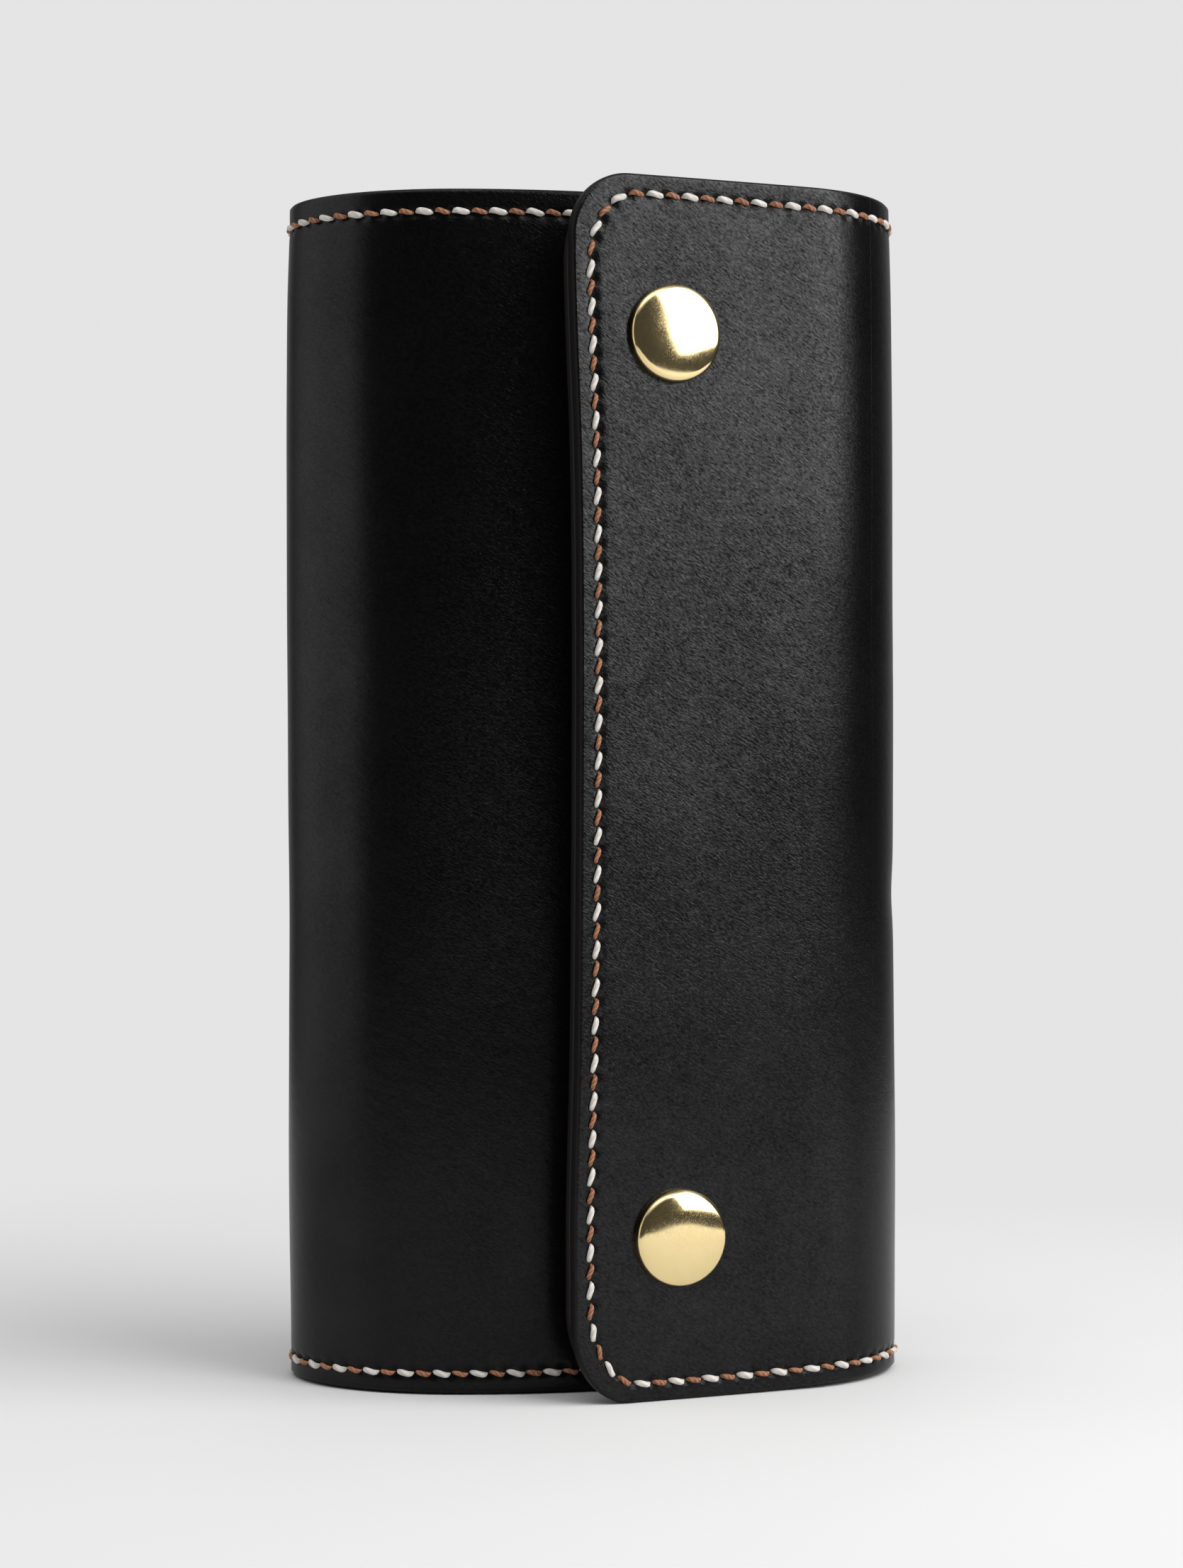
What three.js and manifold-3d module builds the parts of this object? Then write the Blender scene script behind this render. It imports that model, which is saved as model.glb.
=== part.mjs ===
// Leather clutch stood on one short end: a lined leather wrap with a flap, end gussets, a slip pocket and
// two snap fasteners. Millimetres, +Z up, front towards -Y, origin under the middle of the clutch.

import * as THREE from 'three';
import { mergeVertices } from 'three/addons/utils/BufferGeometryUtils.js';
import Module from 'manifold-3d';

const wasm = await Module();
wasm.setup();

// Overall size
const bodyHeight = 190;
const flapHeight = 191.2;
const flapLift = 0.3;
const halfWidth = 49.2;
const backY = 24.5;

// Left fold: two quarter ellipses that meet at the tip
const leftTipY = 7;
const leftFoldReach = 28;
const leftFoldFrontBulge = 21;
const crestX = leftFoldReach - halfWidth;

// Right wrap: a tight bend at the back and a wide one at the front
const rightTipY = 14.1;
const backBendRadius = backY - rightTipY;
const frontBendRadius = 25;

// Flap and the front panel below it, which lie parallel under the snaps
const flapSlope = THREE.MathUtils.degToRad(23.5);
const flapReach = 39.6;
const flapCorner = 10;
const frontArcRadius = 80;
const frontReach = 12.3;
const frontCorner = 8;

// Leather
const coverThickness = 2.5;
const liningThickness = 2.2;
const gussetThickness = 1.4;
const gap = 0.3;
const wallThickness = coverThickness + gap + liningThickness;

// End gussets
const gussetFlange = 9;
const gussetHollow = 7;
const gussetBackX = 33;

// Slip pocket inside the back
const pocketThickness = 1.3;
const pocketX = [-20, 30];
const pocketZ = [26, 164];
const pocketCorner = 6;

// Seams
const threadRadius = 0.5;
const threadSink = 0.55;
const seamMargin = 3.1;
const pocketSeamSink = 0.2;
const threadSides = 6;
const grooveSides = 6;

// Snap fasteners
const snapCapRadius = 7.5;
const snapCapHeight = 3.3;
const capBarrelRadius = 1.75;
const capRim = { roll: 0.5, top: 1.2, widest: 0.85, under: 0.5, step: 0.1, tuck: 0.4 };
const capClench = { flare: 0.75, slant: 0.4 };
const socket = { height: 4, roof: 1.1, floor: 0.8, mouth: 3, cavity: 4.1, wall: 5.2, flange: 5.9, lip: 0.7 };
const socketEase = { roof: 0.15, floor: 0.2, mouth: 0.3, foot: 0.5, lip: 0.4 };
const stud = { flange: 4.9, flangeThickness: 0.4, neck: 2, head: 2.55 };
const studEase = { foot: 0.4, footRise: 0.3, headRise: 0.8, headWidest: 0.4, headRound: 0.15, headTop: 0.25 };
const studMouth = { flare: 0.5, depth: 0.65 };
const springWireRadius = 0.3;
const springClearance = 0.5;
const springLift = 0.1;
const springOpening = Math.PI / 4;
const eyeletBarrelRadius = 1.2;
const eyeletGap = 0.6;
const eyeletBore = 0.75;
const eyeletSink = 0.05;
const eyeletFlare = { out: 0.45, down: 0.55, floor: 1.1 };
const eyeletFlange = { radius: 4.6, bulge: 0.2, bulgeDrop: 0.25, thickness: 0.7, sag: 0.1 };
const eyeletRoll = { out: 0.5, drop: 0.3 };
const snaps = [
  { name: 'upper', inset: 16.4, z: 166.8 },
  { name: 'lower', inset: 17.4, z: 25.4 },
];

// How finely curves are divided
const cornerSteps = 6;
const frontArcSteps = 7;
const foldFrontSteps = 12;
const foldBackSteps = 10;
const turnPerStation = 10;
const domeSteps = 7;
const latheSegments = 24;
const holeSegments = 16;
const springSteps = 20;

// Materials

const leather = () => new THREE.MeshStandardMaterial({ color: 0x1a191a, roughness: 0.55, metalness: 0 });
const lining = () => new THREE.MeshStandardMaterial({ color: 0x2a211c, roughness: 0.75, metalness: 0 });
const brass = () => new THREE.MeshStandardMaterial({ color: 0xc8a464, roughness: 0.22, metalness: 1 });
const steel = () => new THREE.MeshStandardMaterial({ color: 0x9a9a98, roughness: 0.35, metalness: 1 });
const thread = () => new THREE.MeshStandardMaterial({ color: 0xcfc2ac, roughness: 0.8, metalness: 0 });

// Closed meshes and booleans

/** Keeps positions only, welds shared corners, and turns the faces outwards. */
function closed(geometry) {
  const bare = geometry.clone();
  bare.deleteAttribute('normal');
  bare.deleteAttribute('uv');
  const welded = mergeVertices(bare, 1e-4);
  const p = welded.getAttribute('position');
  const index = Array.from(welded.getIndex().array);
  const corner = [new THREE.Vector3(), new THREE.Vector3(), new THREE.Vector3()];
  const kept = [];
  let volume = 0;
  for (let i = 0; i < index.length; i += 3) {
    const face = index.slice(i, i + 3);
    if (new Set(face).size < 3) continue;
    face.forEach((vertex, k) => corner[k].fromBufferAttribute(p, vertex));
    volume += corner[0].dot(corner[1].clone().cross(corner[2]));
    kept.push(face);
  }
  const outward = volume > 0 ? kept : kept.map(([a, b, c]) => [a, c, b]);
  welded.setIndex(outward.flat());
  return welded;
}

/** A solid that can be joined and cut. */
function solidOf(geometry) {
  const shell = closed(geometry);
  const vertProperties = new Float32Array(shell.getAttribute('position').array);
  const triVerts = new Uint32Array(shell.getIndex().array);
  return new wasm.Manifold(new wasm.Mesh({ numProp: 3, vertProperties, triVerts }));
}

/** The geometry of a solid that was joined or cut. */
function geometryOf(solid) {
  const mesh = solid.getMesh();
  const geometry = new THREE.BufferGeometry();
  geometry.setAttribute('position', new THREE.BufferAttribute(mesh.vertProperties, 3));
  geometry.setIndex(new THREE.BufferAttribute(mesh.triVerts, 1));
  return geometry;
}

/** A geometry with tools taken out of it. */
function cut(geometry, tools) {
  const whole = solidOf(geometry);
  return geometryOf(tools.reduce((rest, tool) => rest.subtract(solidOf(tool)), whole));
}

// The leather's outer outline, seen from above, as stations with an outward normal.
// A station's inset is how far its two ends stop short at a rounded corner.

const station = (x, y, nx, ny, top, inset = 0) => ({ x, y, nx, ny, top, inset });

/** Stations along an arc of an ellipse, or of a circle when both reaches are equal. */
function arcStations(x, y, reachX, reachY, from, to, steps, top) {
  return Array.from({ length: steps + 1 }, (_, i) => {
    const angle = THREE.MathUtils.degToRad(from + ((to - from) * i) / steps);
    const normal = new THREE.Vector2(Math.cos(angle) / reachX, Math.sin(angle) / reachY).normalize();
    return station(x + reachX * Math.cos(angle), y + reachY * Math.sin(angle), normal.x, normal.y, top);
  });
}

/** A straight flap of leather that ends in a free edge with rounded corners. */
class StraightRun {
  constructor(root, length, corner, top, base) {
    Object.assign(this, { root, length, corner, top, base });
    this.normal = new THREE.Vector2(Math.sin(flapSlope), -Math.cos(flapSlope));
    this.along = new THREE.Vector2(Math.cos(flapSlope), Math.sin(flapSlope));
  }

  /** The station at a distance from the free edge. */
  at(distance, inset = 0) {
    const back = distance - this.length;
    const x = this.root.x + this.along.x * back;
    const y = this.root.y + this.along.y * back;
    return station(x, y, this.normal.x, this.normal.y, this.top, inset);
  }

  /** Stations from the free edge to the root. */
  stations() {
    const round = Array.from({ length: cornerSteps + 1 }, (_, i) => {
      const angle = (Math.PI / 2) * (i / cornerSteps);
      return this.at(this.corner * (1 - Math.cos(angle)), this.corner * (1 - Math.sin(angle)));
    });
    return [...round, this.at(this.length)];
  }

  /** Seam points round the free edge, from the top run to the bottom run. */
  seam(depth) {
    const radius = this.corner - seamMargin;
    const corner = (zCentre, fromAngle) => Array.from({ length: cornerSteps + 1 }, (_, i) => {
      const angle = fromAngle + (Math.PI / 2) * (i / cornerSteps);
      const place = this.at(this.corner + radius * Math.cos(angle));
      return below(place, depth, zCentre + radius * Math.sin(angle));
    });
    const upper = corner(this.top - this.corner, Math.PI / 2);
    const lower = corner(this.base + this.corner, Math.PI);
    return [...upper, ...lower];
  }
}

/** The point a depth below the outer face at a station, at height z. */
function below({ x, y, nx, ny }, depth, z) {
  return new THREE.Vector3(x - nx * depth, y - ny * depth, z);
}

const slopeDegrees = THREE.MathUtils.radToDeg(flapSlope);
const backBendX = halfWidth - backBendRadius;
const frontBendX = halfWidth - frontBendRadius;
const frontBendSpan = 90 - slopeDegrees;

// Each bend folds on two lines, a quarter of the bend in from either end.
const backFolds = [67.5, 22.5];
const frontFolds = [-frontBendSpan / 4, (-3 * frontBendSpan) / 4];

const flapRoot = new THREE.Vector2(
  frontBendX + frontBendRadius * Math.sin(flapSlope),
  rightTipY - frontBendRadius * Math.cos(flapSlope),
);
const crestY = leftTipY - leftFoldFrontBulge;
const frontRoot = new THREE.Vector2(
  crestX + frontArcRadius * Math.sin(flapSlope),
  crestY + frontArcRadius * (1 - Math.cos(flapSlope)),
);

/** Stations along a round bend of the right wrap. */
function bend(x, radius, from, to) {
  const steps = Math.ceil(Math.abs(to - from) / turnPerStation);
  return arcStations(x, rightTipY, radius, radius, from, to, steps, flapHeight);
}

const backBend = (from, to) => bend(backBendX, backBendRadius, from, to);
const frontBend = (from, to) => bend(frontBendX, frontBendRadius, from, to);

// The front panel's run leans the same way as the flap, but its free edge points to the mouth on the right.
class MouthRun extends StraightRun {
  at(distance, inset = 0) {
    return super.at(2 * this.length - distance, inset);
  }
}

const flapRun = new StraightRun(flapRoot, flapReach, flapCorner, flapHeight, flapLift);
const mouthRun = new MouthRun(frontRoot, frontReach, frontCorner, bodyHeight, 0);

const frontArc = arcStations(
  crestX, crestY + frontArcRadius, frontArcRadius, frontArcRadius, slopeDegrees - 90, -90, frontArcSteps,
  bodyHeight,
);
const foldFront = arcStations(
  crestX, leftTipY, leftFoldReach, leftFoldFrontBulge, -90, -180, foldFrontSteps, bodyHeight,
);
const foldBack = arcStations(
  crestX, leftTipY, leftFoldReach, backY - leftTipY, 180, 90, foldBackSteps, bodyHeight,
);

/** Half of the gap at a fold line as an angle, for a layer whose inner face lies at a depth. */
const gapAngle = (radius, depth) => THREE.MathUtils.radToDeg(gap / 2 / (radius - depth));

/**
 * The stations of each piece of the wrap, for a layer whose inner face lies at a depth.
 * The first station of each stretch repeats the last of the one before, so it is left out.
 */
function wrapStations(depth) {
  const backGap = gapAngle(backBendRadius, depth);
  const frontGap = gapAngle(frontBendRadius, depth);
  const bodyCurve = [
    ...frontArc.slice(1),
    ...foldFront.slice(1),
    ...foldBack.slice(1),
    ...backBend(90, backFolds[0] + backGap),
  ];
  const sideCurve = [
    ...backBend(backFolds[1] - backGap, 0),
    ...frontBend(0, frontFolds[0] + frontGap).slice(1),
  ];
  const flapCurve = frontBend(frontFolds[1] - frontGap, -frontBendSpan);
  return {
    bodyCurve,
    flapCurve,
    body: [...mouthRun.stations(), ...bodyCurve],
    flap: [...flapCurve.slice(0, -1), ...flapRun.stations().reverse()],
    strips: [
      { name: 'back_strip', stations: backBend(backFolds[0] - backGap, backFolds[1] + backGap) },
      { name: 'side_strip', stations: sideCurve },
      { name: 'front_strip', stations: frontBend(frontFolds[0] - frontGap, frontFolds[1] + frontGap) },
    ],
  };
}

const coverWrap = wrapStations(coverThickness);
const liningWrap = wrapStations(wallThickness);

// Leather walls

/** A wall that follows the stations, between two depths below the outer face. */
function wall(stations, outerDepth, innerDepth, base, topOf = (s) => s.top) {
  const positions = stations.flatMap((s) => {
    const low = base + s.inset;
    const high = topOf(s) - s.inset;
    const ring = [
      below(s, outerDepth, low),
      below(s, outerDepth, high),
      below(s, innerDepth, high),
      below(s, innerDepth, low),
    ];
    return ring.flatMap((p) => p.toArray());
  });
  const index = [0, 1, 2, 0, 2, 3];
  for (let i = 0; i < stations.length - 1; i += 1) {
    for (let k = 0; k < 4; k += 1) {
      const a = 4 * i + k;
      const b = 4 * i + ((k + 1) % 4);
      index.push(a, a + 4, b + 4, a, b + 4, b);
    }
  }
  const last = 4 * (stations.length - 1);
  index.push(last, last + 2, last + 1, last, last + 3, last + 2);
  const geometry = new THREE.BufferGeometry();
  geometry.setAttribute('position', new THREE.Float32BufferAttribute(positions, 3));
  geometry.setIndex(index);
  return closed(geometry);
}

const cover = (stations, base) => wall(stations, 0, coverThickness, base);
const liner = (stations, base) => wall(stations, coverThickness + gap, wallThickness, base);

// Seams

/** A path through given points, so that a tube has one ring at each of them. */
class PointPath extends THREE.Curve {
  constructor(points) {
    super();
    this.points = points;
  }

  getPoint(t) {
    const place = t * (this.points.length - 1);
    const i = Math.min(Math.floor(place), this.points.length - 2);
    return this.points[i].clone().lerp(this.points[i + 1], place - i);
  }

  getPointAt(t) {
    return this.getPoint(t);
  }

  getTangentAt(t) {
    const i = Math.round(t * (this.points.length - 1));
    const before = this.points[Math.max(i - 1, 0)];
    const after = this.points[Math.min(i + 1, this.points.length - 1)];
    return after.clone().sub(before).normalize();
  }
}

/** A round tube through the points. */
function tube(points, radius, sides) {
  const section = new THREE.Shape(
    Array.from({ length: sides }, (_, i) => {
      const angle = (2 * Math.PI * i) / sides;
      return new THREE.Vector2(radius * Math.cos(angle), radius * Math.sin(angle));
    }),
  );
  const extrudePath = new PointPath(points);
  return new THREE.ExtrudeGeometry(section, { steps: points.length - 1, bevelEnabled: false, extrudePath });
}

const seamTop = (stations) => stations.map((s) => below(s, threadSink, s.top - seamMargin));
const seamBottom = (stations, base) => stations.map((s) => below(s, threadSink, base + seamMargin));
const threadOf = (points) => closed(tube(points, threadRadius, threadSides));
const grooveOf = (points) => tube(points, threadRadius + gap, grooveSides);

// Each groove runs past the thread's ends by this much, so that the thread stays clear of them.
const grooveOverrun = 1;

/** Seam points with both ends pushed out along the seam. */
function lengthened(points, by) {
  const first = points[0].clone().sub(points[1]).setLength(by).add(points[0]);
  const last = points.at(-1).clone().sub(points.at(-2)).setLength(by).add(points.at(-1));
  return [first, ...points, last];
}

const bodyRun = [mouthRun.at(frontReach), ...coverWrap.bodyCurve];
const bodySeam = [
  ...seamTop([...bodyRun].reverse()),
  ...mouthRun.seam(threadSink),
  ...seamBottom(bodyRun, 0),
];
const flapSeam = [
  ...seamTop(coverWrap.flapCurve),
  ...flapRun.seam(threadSink),
  ...seamBottom([...coverWrap.flapCurve].reverse(), flapLift),
];

// Snap fasteners: every piece turns about one axis square to the flap. Heights are measured outwards
// from the flap's outer face.

const snapAxis = new THREE.Vector3(flapRun.normal.x, flapRun.normal.y, 0);
const flapInner = -wallThickness;
const frontOuter = -snapAxis.dot(new THREE.Vector3(flapRoot.x - frontRoot.x, flapRoot.y - frontRoot.y, 0));
const frontInner = frontOuter - wallThickness;

/** A turned piece from a profile of radius and height. */
function turned(profile) {
  const points = profile.map(([radius, height]) => new THREE.Vector2(radius, height));
  return closed(new THREE.LatheGeometry(points, latheSegments));
}

const socketTop = flapInner - gap;
const socketBottom = socketTop - socket.height;
const cavityTop = socketTop - socket.roof;
const cavityBottom = socketBottom + socket.floor;
const barrelEnd = cavityTop - capClench.flare;
const studTop = barrelEnd - gap;
const studBase = frontOuter + gap;
const studBore = eyeletBarrelRadius + gap;

/** Domed cap with a rolled rim and the barrel that goes through the flap. */
function snapCap() {
  const domeEdge = snapCapRadius - capRim.roll;
  const domeRise = snapCapHeight - capRim.top;
  const domeRadius = (domeEdge ** 2 + domeRise ** 2) / (2 * domeRise);
  const clenched = capBarrelRadius + capClench.flare;
  const dome = Array.from({ length: domeSteps }, (_, i) => {
    const radius = (domeEdge * i) / (domeSteps - 1);
    return [radius, snapCapHeight - domeRadius + Math.sqrt(domeRadius ** 2 - radius ** 2)];
  });
  return turned([
    ...dome,
    [snapCapRadius, capRim.widest],
    [snapCapRadius - capRim.step, capRim.under],
    [snapCapRadius - capRim.tuck, gap],
    [capBarrelRadius, gap],
    [capBarrelRadius, cavityTop],
    [clenched, cavityTop - capClench.slant],
    [clenched, barrelEnd],
    [0, barrelEnd],
  ]);
}

/** Socket: a ring with a cavity for the stud's head. */
function snapSocket() {
  const bore = capBarrelRadius + gap;
  const lipBottom = socketTop - socket.lip;
  return turned([
    [bore, socketTop],
    [bore, cavityTop],
    [socket.cavity, cavityTop - socketEase.roof],
    [socket.cavity, cavityBottom],
    [socket.mouth, cavityBottom - socketEase.floor],
    [socket.mouth, socketBottom + socketEase.mouth],
    [socket.mouth + socketEase.mouth, socketBottom],
    [socket.wall - socketEase.foot, socketBottom],
    [socket.wall, socketBottom + socketEase.foot],
    [socket.wall, lipBottom - socketEase.lip],
    [socket.flange, lipBottom],
    [socket.flange, socketTop],
    [bore, socketTop],
  ]);
}

/** Open ring of spring wire that grips the stud's neck. */
function snapSpring() {
  const ringRadius = stud.neck + springClearance + springWireRadius;
  const height = cavityBottom + springWireRadius + springLift;
  const points = Array.from({ length: springSteps + 1 }, (_, i) => {
    const angle = springOpening / 2 + ((2 * Math.PI - springOpening) * i) / springSteps;
    return new THREE.Vector3(ringRadius * Math.cos(angle), height, ringRadius * Math.sin(angle));
  });
  return closed(tube(points, springWireRadius, threadSides));
}

/** Stud: a flanged ring with a neck and a wider head. */
function snapStud() {
  const flangeTop = studBase + stud.flangeThickness;
  return turned([
    [studBore, studBase],
    [stud.flange, studBase],
    [stud.flange, flangeTop],
    [stud.neck + studEase.foot, flangeTop + studEase.footRise],
    [stud.neck, flangeTop + 2 * studEase.footRise],
    [stud.neck, studTop - studEase.headRise],
    [stud.head, studTop - studEase.headWidest],
    [stud.head, studTop - studEase.headRound],
    [stud.head - studEase.headTop, studTop],
    [studBore + studMouth.flare, studTop],
    [studBore, studTop - studMouth.depth],
    [studBore, studBase],
  ]);
}

/** Eyelet: a flange inside the clutch and a hollow barrel flared inside the stud. */
function snapEyelet() {
  const flangeTop = frontInner - eyeletGap;
  const flangeBottom = flangeTop - eyeletFlange.thickness;
  const barrelTop = studTop - eyeletSink;
  const boreFloor = barrelTop - eyeletFlare.floor;
  return turned([
    [0, barrelTop],
    [eyeletBarrelRadius + eyeletFlare.out, barrelTop],
    [eyeletBarrelRadius, barrelTop - eyeletFlare.down],
    [eyeletBarrelRadius, flangeTop],
    [eyeletFlange.radius, flangeTop],
    [eyeletFlange.radius + eyeletFlange.bulge, flangeTop - eyeletFlange.bulgeDrop],
    [eyeletFlange.radius, flangeBottom],
    [eyeletBore + eyeletRoll.out, flangeBottom - eyeletFlange.sag],
    [eyeletBore, flangeTop - eyeletRoll.drop],
    [eyeletBore, boreFloor],
    [0, boreFloor],
  ]);
}

/** Moves and turns a geometry from the snap's own axis to its place on the clutch. */
function onSnapAxis(geometry, snap) {
  const foot = below(flapRun.at(snap.inset), 0, snap.z);
  const turn = new THREE.Quaternion().setFromUnitVectors(new THREE.Vector3(0, 1, 0), snapAxis);
  return geometry.applyQuaternion(turn).translate(foot.x, foot.y, foot.z);
}

/** A drill through the flap or the front panel on a snap's axis. */
function drill(snap, radius, from, to) {
  const length = from - to;
  const pin = new THREE.CylinderGeometry(radius, radius, length, holeSegments);
  return onSnapAxis(pin.translate(0, (from + to) / 2, 0), snap);
}

const drillPast = 2;
const flapDrills = snaps.map((s) => drill(s, capBarrelRadius + gap, drillPast, flapInner - drillPast));
const frontDrills = snaps.map(
  (s) => drill(s, eyeletBarrelRadius + gap, frontOuter + drillPast, frontInner - drillPast),
);

// End gussets: a web set in from the end, with a flange turned out to the edge

function gusset(base, webBase) {
  const inside = wallThickness + gap;
  const start = mouthRun.at(frontCorner);
  const back = station(gussetBackX, backY, 0, 1, bodyHeight);
  const stations = [start, ...bodyRun.filter((s) => s.x < gussetBackX), back];
  const flange = wall(stations, inside, inside + gussetThickness, base, () => base + gussetFlange);
  const rim = stations.map((s) => below(s, inside + gussetThickness / 2, 0));
  const mouthEdge = new THREE.QuadraticBezierCurve(
    new THREE.Vector2(rim.at(-1).x, rim.at(-1).y),
    new THREE.Vector2((rim.at(-1).x + rim[0].x) / 2 - gussetHollow, (rim.at(-1).y + rim[0].y) / 2),
    new THREE.Vector2(rim[0].x, rim[0].y),
  ).getPoints(cornerSteps);
  const rimEdge = rim.map((p) => new THREE.Vector2(p.x, p.y));
  const outline = new THREE.Shape([...rimEdge, ...mouthEdge.slice(1, -1)]);
  const web = new THREE.ExtrudeGeometry(outline, { depth: gussetThickness, bevelEnabled: false });
  return geometryOf(solidOf(flange).add(solidOf(web.translate(0, 0, webBase))));
}

// Slip pocket: a flat panel on the back lining, sewn on three sides and open to the mouth

const pocketFace = backY - wallThickness - gap - pocketThickness;

/** Points along the pocket's three sewn sides. */
function pocketSeamPoints() {
  const [left, right] = pocketX;
  const [low, high] = pocketZ;
  const y = pocketFace + pocketSeamSink;
  const radius = pocketCorner - seamMargin;
  const corner = (zCentre, fromAngle) => Array.from({ length: cornerSteps + 1 }, (_, i) => {
    const angle = fromAngle + (Math.PI / 2) * (i / cornerSteps);
    const x = left + pocketCorner + radius * Math.cos(angle);
    return new THREE.Vector3(x, y, zCentre + radius * Math.sin(angle));
  });
  return [
    new THREE.Vector3(right - seamMargin, y, high - seamMargin),
    ...corner(high - pocketCorner, Math.PI / 2),
    ...corner(low + pocketCorner, Math.PI),
    new THREE.Vector3(right - seamMargin, y, low + seamMargin),
  ];
}

function slipPocket() {
  const [left, right] = pocketX;
  const [low, high] = pocketZ;
  const outline = new THREE.Shape();
  outline.moveTo(right, low);
  outline.lineTo(right, high);
  outline.lineTo(left + pocketCorner, high);
  outline.absarc(left + pocketCorner, high - pocketCorner, pocketCorner, Math.PI / 2, Math.PI);
  outline.lineTo(left, low + pocketCorner);
  outline.absarc(left + pocketCorner, low + pocketCorner, pocketCorner, Math.PI, 1.5 * Math.PI);
  const panel = new THREE.ExtrudeGeometry(outline, {
    depth: pocketThickness,
    bevelEnabled: false,
    curveSegments: cornerSteps,
  });
  const upright = panel.rotateX(Math.PI / 2).translate(0, pocketFace + pocketThickness, 0);
  return cut(upright, [grooveOf(lengthened(pocketSeamPoints(), grooveOverrun))]);
}

// Assembly

const clutch = new THREE.Group();

function add(name, geometry, material) {
  const mesh = new THREE.Mesh(geometry, material);
  mesh.name = name;
  clutch.add(mesh);
}

const bodyGroove = grooveOf(lengthened(bodySeam, grooveOverrun));
const flapGroove = grooveOf(lengthened(flapSeam, grooveOverrun));

add('cover_body', cut(cover(coverWrap.body, 0), [...frontDrills, bodyGroove]), leather());
add('cover_flap', cut(cover(coverWrap.flap, flapLift), [...flapDrills, flapGroove]), leather());
add('lining_body', cut(liner(liningWrap.body, 0), frontDrills), lining());
add('lining_flap', cut(liner(liningWrap.flap, flapLift), flapDrills), lining());
add('gusset_top', gusset(bodyHeight - gussetFlange, bodyHeight - gussetFlange), leather());
add('gusset_bottom', gusset(0, gussetFlange - gussetThickness), leather());
add('slip_pocket', slipPocket(), lining());
add('thread_body', threadOf(bodySeam), thread());
add('thread_flap', threadOf(flapSeam), thread());
add('thread_pocket', threadOf(pocketSeamPoints()), thread());

coverWrap.strips.forEach(({ name, stations }) => {
  const seams = { top: seamTop(stations), bottom: seamBottom(stations, 0) };
  const grooves = Object.values(seams).map((points) => grooveOf(lengthened(points, grooveOverrun)));
  add(`cover_${name}`, cut(cover(stations, 0), grooves), leather());
  Object.entries(seams).forEach(([end, points]) => add(`thread_${name}_${end}`, threadOf(points), thread()));
});
liningWrap.strips.forEach(({ name, stations }) => add(`lining_${name}`, liner(stations, 0), lining()));

snaps.forEach((snap) => {
  add(`snap_cap_${snap.name}`, onSnapAxis(snapCap(), snap), brass());
  add(`snap_socket_${snap.name}`, onSnapAxis(snapSocket(), snap), brass());
  add(`snap_spring_${snap.name}`, onSnapAxis(snapSpring(), snap), steel());
  add(`snap_stud_${snap.name}`, onSnapAxis(snapStud(), snap), brass());
  add(`snap_eyelet_${snap.name}`, onSnapAxis(snapEyelet(), snap), brass());
});

export default clutch;
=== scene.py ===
"""Looks of a lined leather clutch with a snapped flap, stood on one short end.

Sizes are millimetres in the clutch's own frame, +Z up and the front towards -Y, unless a docstring says
metres. They become metres where a mesh is made.
"""

import logging
import math
from dataclasses import dataclass, field
from enum import Enum
from typing import Callable, Sequence

import bpy
import numpy as np
from mathutils import Euler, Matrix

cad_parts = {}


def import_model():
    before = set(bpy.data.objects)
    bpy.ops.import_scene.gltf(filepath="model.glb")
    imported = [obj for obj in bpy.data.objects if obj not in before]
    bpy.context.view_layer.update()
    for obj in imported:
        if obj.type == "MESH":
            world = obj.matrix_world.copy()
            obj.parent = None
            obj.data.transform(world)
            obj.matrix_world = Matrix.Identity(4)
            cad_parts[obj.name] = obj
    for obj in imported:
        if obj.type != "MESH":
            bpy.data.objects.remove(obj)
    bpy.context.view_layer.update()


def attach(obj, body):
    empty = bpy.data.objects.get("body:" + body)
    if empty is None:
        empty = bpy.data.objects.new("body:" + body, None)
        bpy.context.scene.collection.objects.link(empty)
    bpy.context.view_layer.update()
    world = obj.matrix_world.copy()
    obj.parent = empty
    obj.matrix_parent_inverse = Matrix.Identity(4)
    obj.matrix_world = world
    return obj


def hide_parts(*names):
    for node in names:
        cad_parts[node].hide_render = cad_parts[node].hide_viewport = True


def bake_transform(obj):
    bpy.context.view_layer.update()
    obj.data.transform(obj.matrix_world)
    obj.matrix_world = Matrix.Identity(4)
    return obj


LOG = logging.getLogger("clutch")
MM = 0.001
QUARTER = math.pi / 2

Array = np.ndarray
Pair = tuple[float, float]
Knots = Sequence[Pair]
Place = Callable[[Array, Array, Array], Array]
Relief = Callable[[Array, Array], tuple[Array, Array]]


class End(Enum):
    """How a leather piece ends: at a cut edge that shows, or against the next piece of the same leather."""

    FREE = "free"
    BUTT = "butt"


class Slot(Enum):
    """The record's material slots."""

    LEATHER = "black_leather"
    LINING = "lining_leather"
    BRASS = "brass"
    STEEL = "spring_steel"
    THREAD = "waxed_thread"


def bump(x: Array, width: float, centre: float = 0.0, power: int = 2) -> Array:
    """A round bump of height 1: e to minus a power of the distance from the centre over the width."""
    return np.exp(-(((x - centre) / width) ** power))


def ease(x: Array, low: float, high: float) -> Array:
    """Rises from 0 at low to 1 at high along 3t^2 - 2t^3."""
    t = np.clip((x - low) / (high - low), 0.0, 1.0)
    return t * t * (3.0 - 2.0 * t)


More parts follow.
